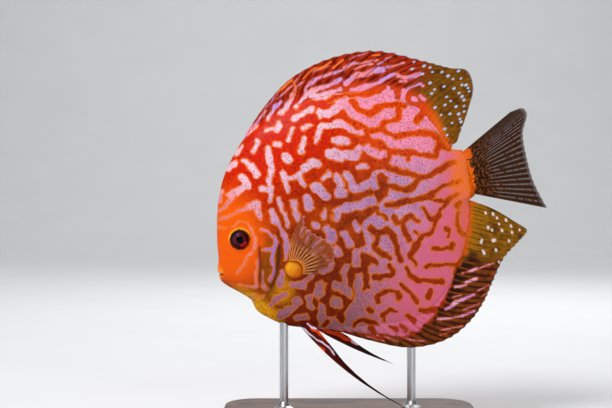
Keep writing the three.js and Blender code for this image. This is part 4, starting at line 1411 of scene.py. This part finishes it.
# %% Clear pectoral fans and their lobes
def pectoral_recipe():
    out = stored("outward")
    branch = between(ray_line(2.0), 0.6, 0.95) * between(out, 0.3, 0.55)
    line = maths("MAXIMUM", between(ray_line(), 0.6, 0.95), branch)
    rim, base = between(out, 0.95, 0.995), between(out, 0.16, 0.0)
    rays = blend(colour(246, 190, 104), colour(136, 62, 26), between(out, 0.25, 0.6))
    mixed = blend(colour(214, 138, 100), rays, line)
    seen = maths("MAXIMUM", maths("MAXIMUM", line * 0.72, rim * 0.6), base)
    return {
        "Base Color": layered(mixed, ((232, 156, 160), rim), ((226, 126, 20), base)),
        "Alpha": seen * 0.84 + 0.05,
        "Roughness": line * 0.1 + 0.3,
    }


def lobe_recipe():
    # Painted light: the lobe is painted lighter towards its upper left, the side that faces the key light.
    rising = (mm_along("Z") - LOBE_CENTRE[1]) - (mm_along("X") - LOBE_CENTRE[0])
    glow = between(rising + (cloud(0.5, 2) - 0.5) * 5.0, -6.0, 6.0)
    lit = blend(colour(206, 98, 8), colour(244, 168, 30), glow)
    crown = between(stored("crown") + (cloud(0.6, 2) - 0.5) * 0.5, 0.25, 0.85)
    return {
        "Base Color": blend(colour(166, 68, 4), lit, crown),
        "Roughness": cloud(0.8, 2) * 0.2 + 0.34,
        "Normal": bump(cloud(1.8, 3), 0.3, 0.08),
    }


# %% Pelvic blades, and what each side fin wears
def pelvic_recipe():
    line = between(ray_line(), 0.5, 0.95)
    front = maths("MAXIMUM", line * 0.6, between(stored("across"), 3.6, 5.2))
    return {
        "Base Color": layered(
            colour(70, 6, 2),
            ((128, 36, 10), front),
            ((30, 10, 10), between(stored("outward"), 0.35, 0.75) * 0.8),
            ((232, 70, 18), between(stored("orange"), -0.5, 0.5)),
            ((232, 206, 232), between(stored("pale"), -0.5, 0.5)),
        ),
        "Roughness": cloud(0.8, 2) * 0.2 + 0.34,
        "Normal": bump(line + cloud(1.4, 3) * 0.5, 0.4, 0.08),
    }


for kind, recipe in (("pectoral", pectoral_recipe), ("pelvic", pelvic_recipe)):
    finish = finish_of(kind + "_fin", recipe, WET)
    for side in ("left", "right"):
        wear(fins[f"{kind}_{side}"], finish)
lobe_finish = finish_of("pectoral_lobe", lobe_recipe, WET)
for lobe in lobes:
    wear(lobe, lobe_finish)

# %% [markdown]
# ## The iris
#
# The iris is nearly black, with a maroon ring, a painted purple-grey sheen above and a painted red glint low
# behind the pupil. A clear shell over a flat disc would be closer to a real eye. At this size the colours do
# as well, mixed by the distance from the eye's axis and by the direction, with a thin clear coat for the wet
# gloss.

# %% Eye material
def eye_recipe():
    out, up, back = stored("from_axis"), stored("turn_sin"), stored("turn_cos")
    iris = blend(colour(78, 8, 24), colour(40, 6, 16), between(cloud(0.8, 3), 0.35, 0.65))
    # painted reflection: a purple-grey sheen on the upper left of the iris
    painted_sheen = between(up - back, 0.1, 1.2) * between(out, 2.0, 2.6) * between(out, 4.4, 3.6)
    # painted highlight: a red glint low behind the pupil
    painted_glint = between(back * 0.64 - up * 0.77, 0.72, 0.97) * between(maths("ABSOLUTE", out - 3.0), 1.0, 0.3)
    ring = between(maths("ABSOLUTE", out - PUPIL_RADIUS - 0.2), 0.22, 0.08)
    painted = layered(
        iris,
        ((84, 66, 92), painted_sheen * 0.3),
        ((196, 24, 34), painted_glint),
        ((14, 4, 8), between(out, 3.7, 4.3)),
        ((150, 44, 40), ring * 0.6),
        ((1, 2, 8), between(out, PUPIL_RADIUS + 0.12, PUPIL_RADIUS - 0.12)),
    )
    return {"Base Color": painted, "Roughness": cloud(2.0, 1) * 0.04 + 0.1}


eye_finish = finish_of(
    "wet_eye", eye_recipe, {"Coat Weight": 0.06, "Coat Roughness": 0.02, "Specular IOR Level": 0.03})
for eye in eyes:
    wear(eye, eye_finish)

# %% [markdown]
# ## The stand
#
# A plain varnished board carries the fish on two thin steel rods. Their solids are exact already, so they are
# shown as they are and only get materials: wood as warped rings crossed by fine fibres, and steel brushed
# lengthwise. A scanned wood picture would look as good, but it would tie the notebook to a picture file.

# %% Stand materials
def wood_recipe():
    wander = (cloud(0.02, 2) - 0.5) * 9.0
    rings = maths("PINGPONG", cloud(0.05, 2, stretch=(0.12, 1, 1)) * 14.0 + wander, 1.0)
    fibre = cloud(1.2, 4, stretch=(0.04, 1, 1), roughness=0.65)
    board = blend(colour(66, 38, 24), colour(112, 70, 42), between(rings, 0.1, 0.9))
    return {
        "Base Color": layered(board, ((40, 22, 14), between(fibre, 0.48, 0.66) * 0.7)),
        "Roughness": fibre * 0.25 + 0.26,
        "Normal": bump(fibre, 0.2, 0.15),
    }


def steel_recipe():
    brushed = cloud(3.0, 2, stretch=(1, 1, 0.05))
    shade = blend(colour(176, 176, 180), colour(214, 214, 218), brushed)
    return {"Base Color": shade, "Roughness": brushed * 0.2 + 0.2}


varnish = finish_of("varnished_wood", wood_recipe, {"Coat Weight": 0.1, "Specular IOR Level": 0.3})
wear(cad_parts["stand_base"], varnish)
steel = finish_of("brushed_steel", steel_recipe, {"Metallic": 1.0})
for name in ("stand_rod_front", "stand_rod_rear"):
    wear(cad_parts[name], steel)

# %% [markdown]
# ## Floor
#
# A pale floor that curves up into a backdrop keeps the eye on the fish. A flat floor and a wall would leave a
# line where they meet, so one sheet bends from one to the other, as rolled studio paper does.

# %% Floor and backdrop
SWEEP = {"near": -3500, "wall": 2600, "bend": 700, "height": 3600, "half width": 4500}  # in mm


def paper_recipe():
    return {"Base Color": blend(colour(226, 227, 229), colour(233, 234, 236), cloud(0.01, 2))}


def make_sweep():
    angle, bend = np.linspace(0, np.pi / 2, 24)[1:], SWEEP["bend"]
    curve = [(SWEEP["wall"] - bend * (1 - np.sin(a)), bend * (1 - np.cos(a))) for a in angle]
    profile = [(SWEEP["near"], 0), (SWEEP["wall"] - bend, 0), *curve, (SWEEP["wall"], SWEEP["height"])]
    points = np.array([(x, y, z) for y, z in profile for x in (-SWEEP["half width"], SWEEP["half width"])])
    sweep = make_piece("sweep", points, grid_faces(0, len(profile), 2).tolist())
    wear(sweep, finish_of("pale_paper", paper_recipe, {"Roughness": 0.9}))


make_sweep()

# %% [markdown]
# ## Light
#
# One large soft light hangs up and to the left, where the nape faces, and a weaker one fills the shadows. A
# third lifts the back, and the last lights only the backdrop. Small lights would be simpler, but their hard
# shadows and sharp glints would hide the markings.

# %% Lights
MIDDLE = (0.0, 0.0, 0.11)
LIGHTS = {  # place and target in metres, size in metres, power in watts
    "key": ((-0.5, -0.66, 0.95), MIDDLE, 0.5, 10.5),
    "fill": ((0.55, -0.95, 0.12), MIDDLE, 0.9, 3.4),
    "back": ((0.25, 0.8, 0.85), MIDDLE, 0.7, 5),
    "backdrop": ((0.0, 1.1, 2.2), (0.0, 2.6, 0.6), 1.6, 26),
}


def soft_light(name, place, target, size, power):
    light = bpy.data.objects.new(name, bpy.data.lights.new(name, "AREA"))
    light.data.shape = "DISK"
    light.data.size = size
    light.data.energy = power
    light.location = place
    direction = Vector(target) - Vector(place)
    light.rotation_euler = direction.to_track_quat("-Z", "Y").to_euler()
    bpy.context.scene.collection.objects.link(light)


for name, how in LIGHTS.items():
    soft_light(name, *how)
world = bpy.data.worlds.new("studio")
world.use_nodes = True
world.node_tree.nodes["Background"].inputs["Color"].default_value = (0.86, 0.85, 0.84, 1)
world.node_tree.nodes["Background"].inputs["Strength"].default_value = 0.2
bpy.context.scene.world = world
bpy.context.scene.view_settings.view_transform = "Standard"
print("lights:", list(LIGHTS))

# %% [markdown]
# ## Camera
#
# The reference picture looks straight at the fish's left side. Its lens isn't known, so the camera stands at
# an ordinary distance for so small a subject, and the lens is worked out so that the frame shows half a
# millimetre of fish for each pixel. A flat view without perspective would match as well, but it looks drawn.

# %% Camera
FRAME_PIXELS = (612, 408)
CAMERA_DISTANCE, SENSOR_WIDTH = 0.62, 36  # in metres and in millimetres
camera = bpy.data.objects.new("camera", bpy.data.cameras.new("camera"))
view_x, view_z = to_fish(FRAME_PIXELS[0] / 2, FRAME_PIXELS[1] / 2)
camera.location = (view_x * MM, -CAMERA_DISTANCE, view_z * MM)
camera.rotation_euler = (np.pi / 2, 0, 0)
camera.data.sensor_width = SENSOR_WIDTH
camera.data.lens = SENSOR_WIDTH * CAMERA_DISTANCE / (FRAME_PIXELS[0] * PIXEL_MM * MM)
camera.data.clip_start = 0.01
bpy.context.scene.collection.objects.link(camera)
bpy.context.scene.camera = camera
print("lens:", round(camera.data.lens, 1), "mm")
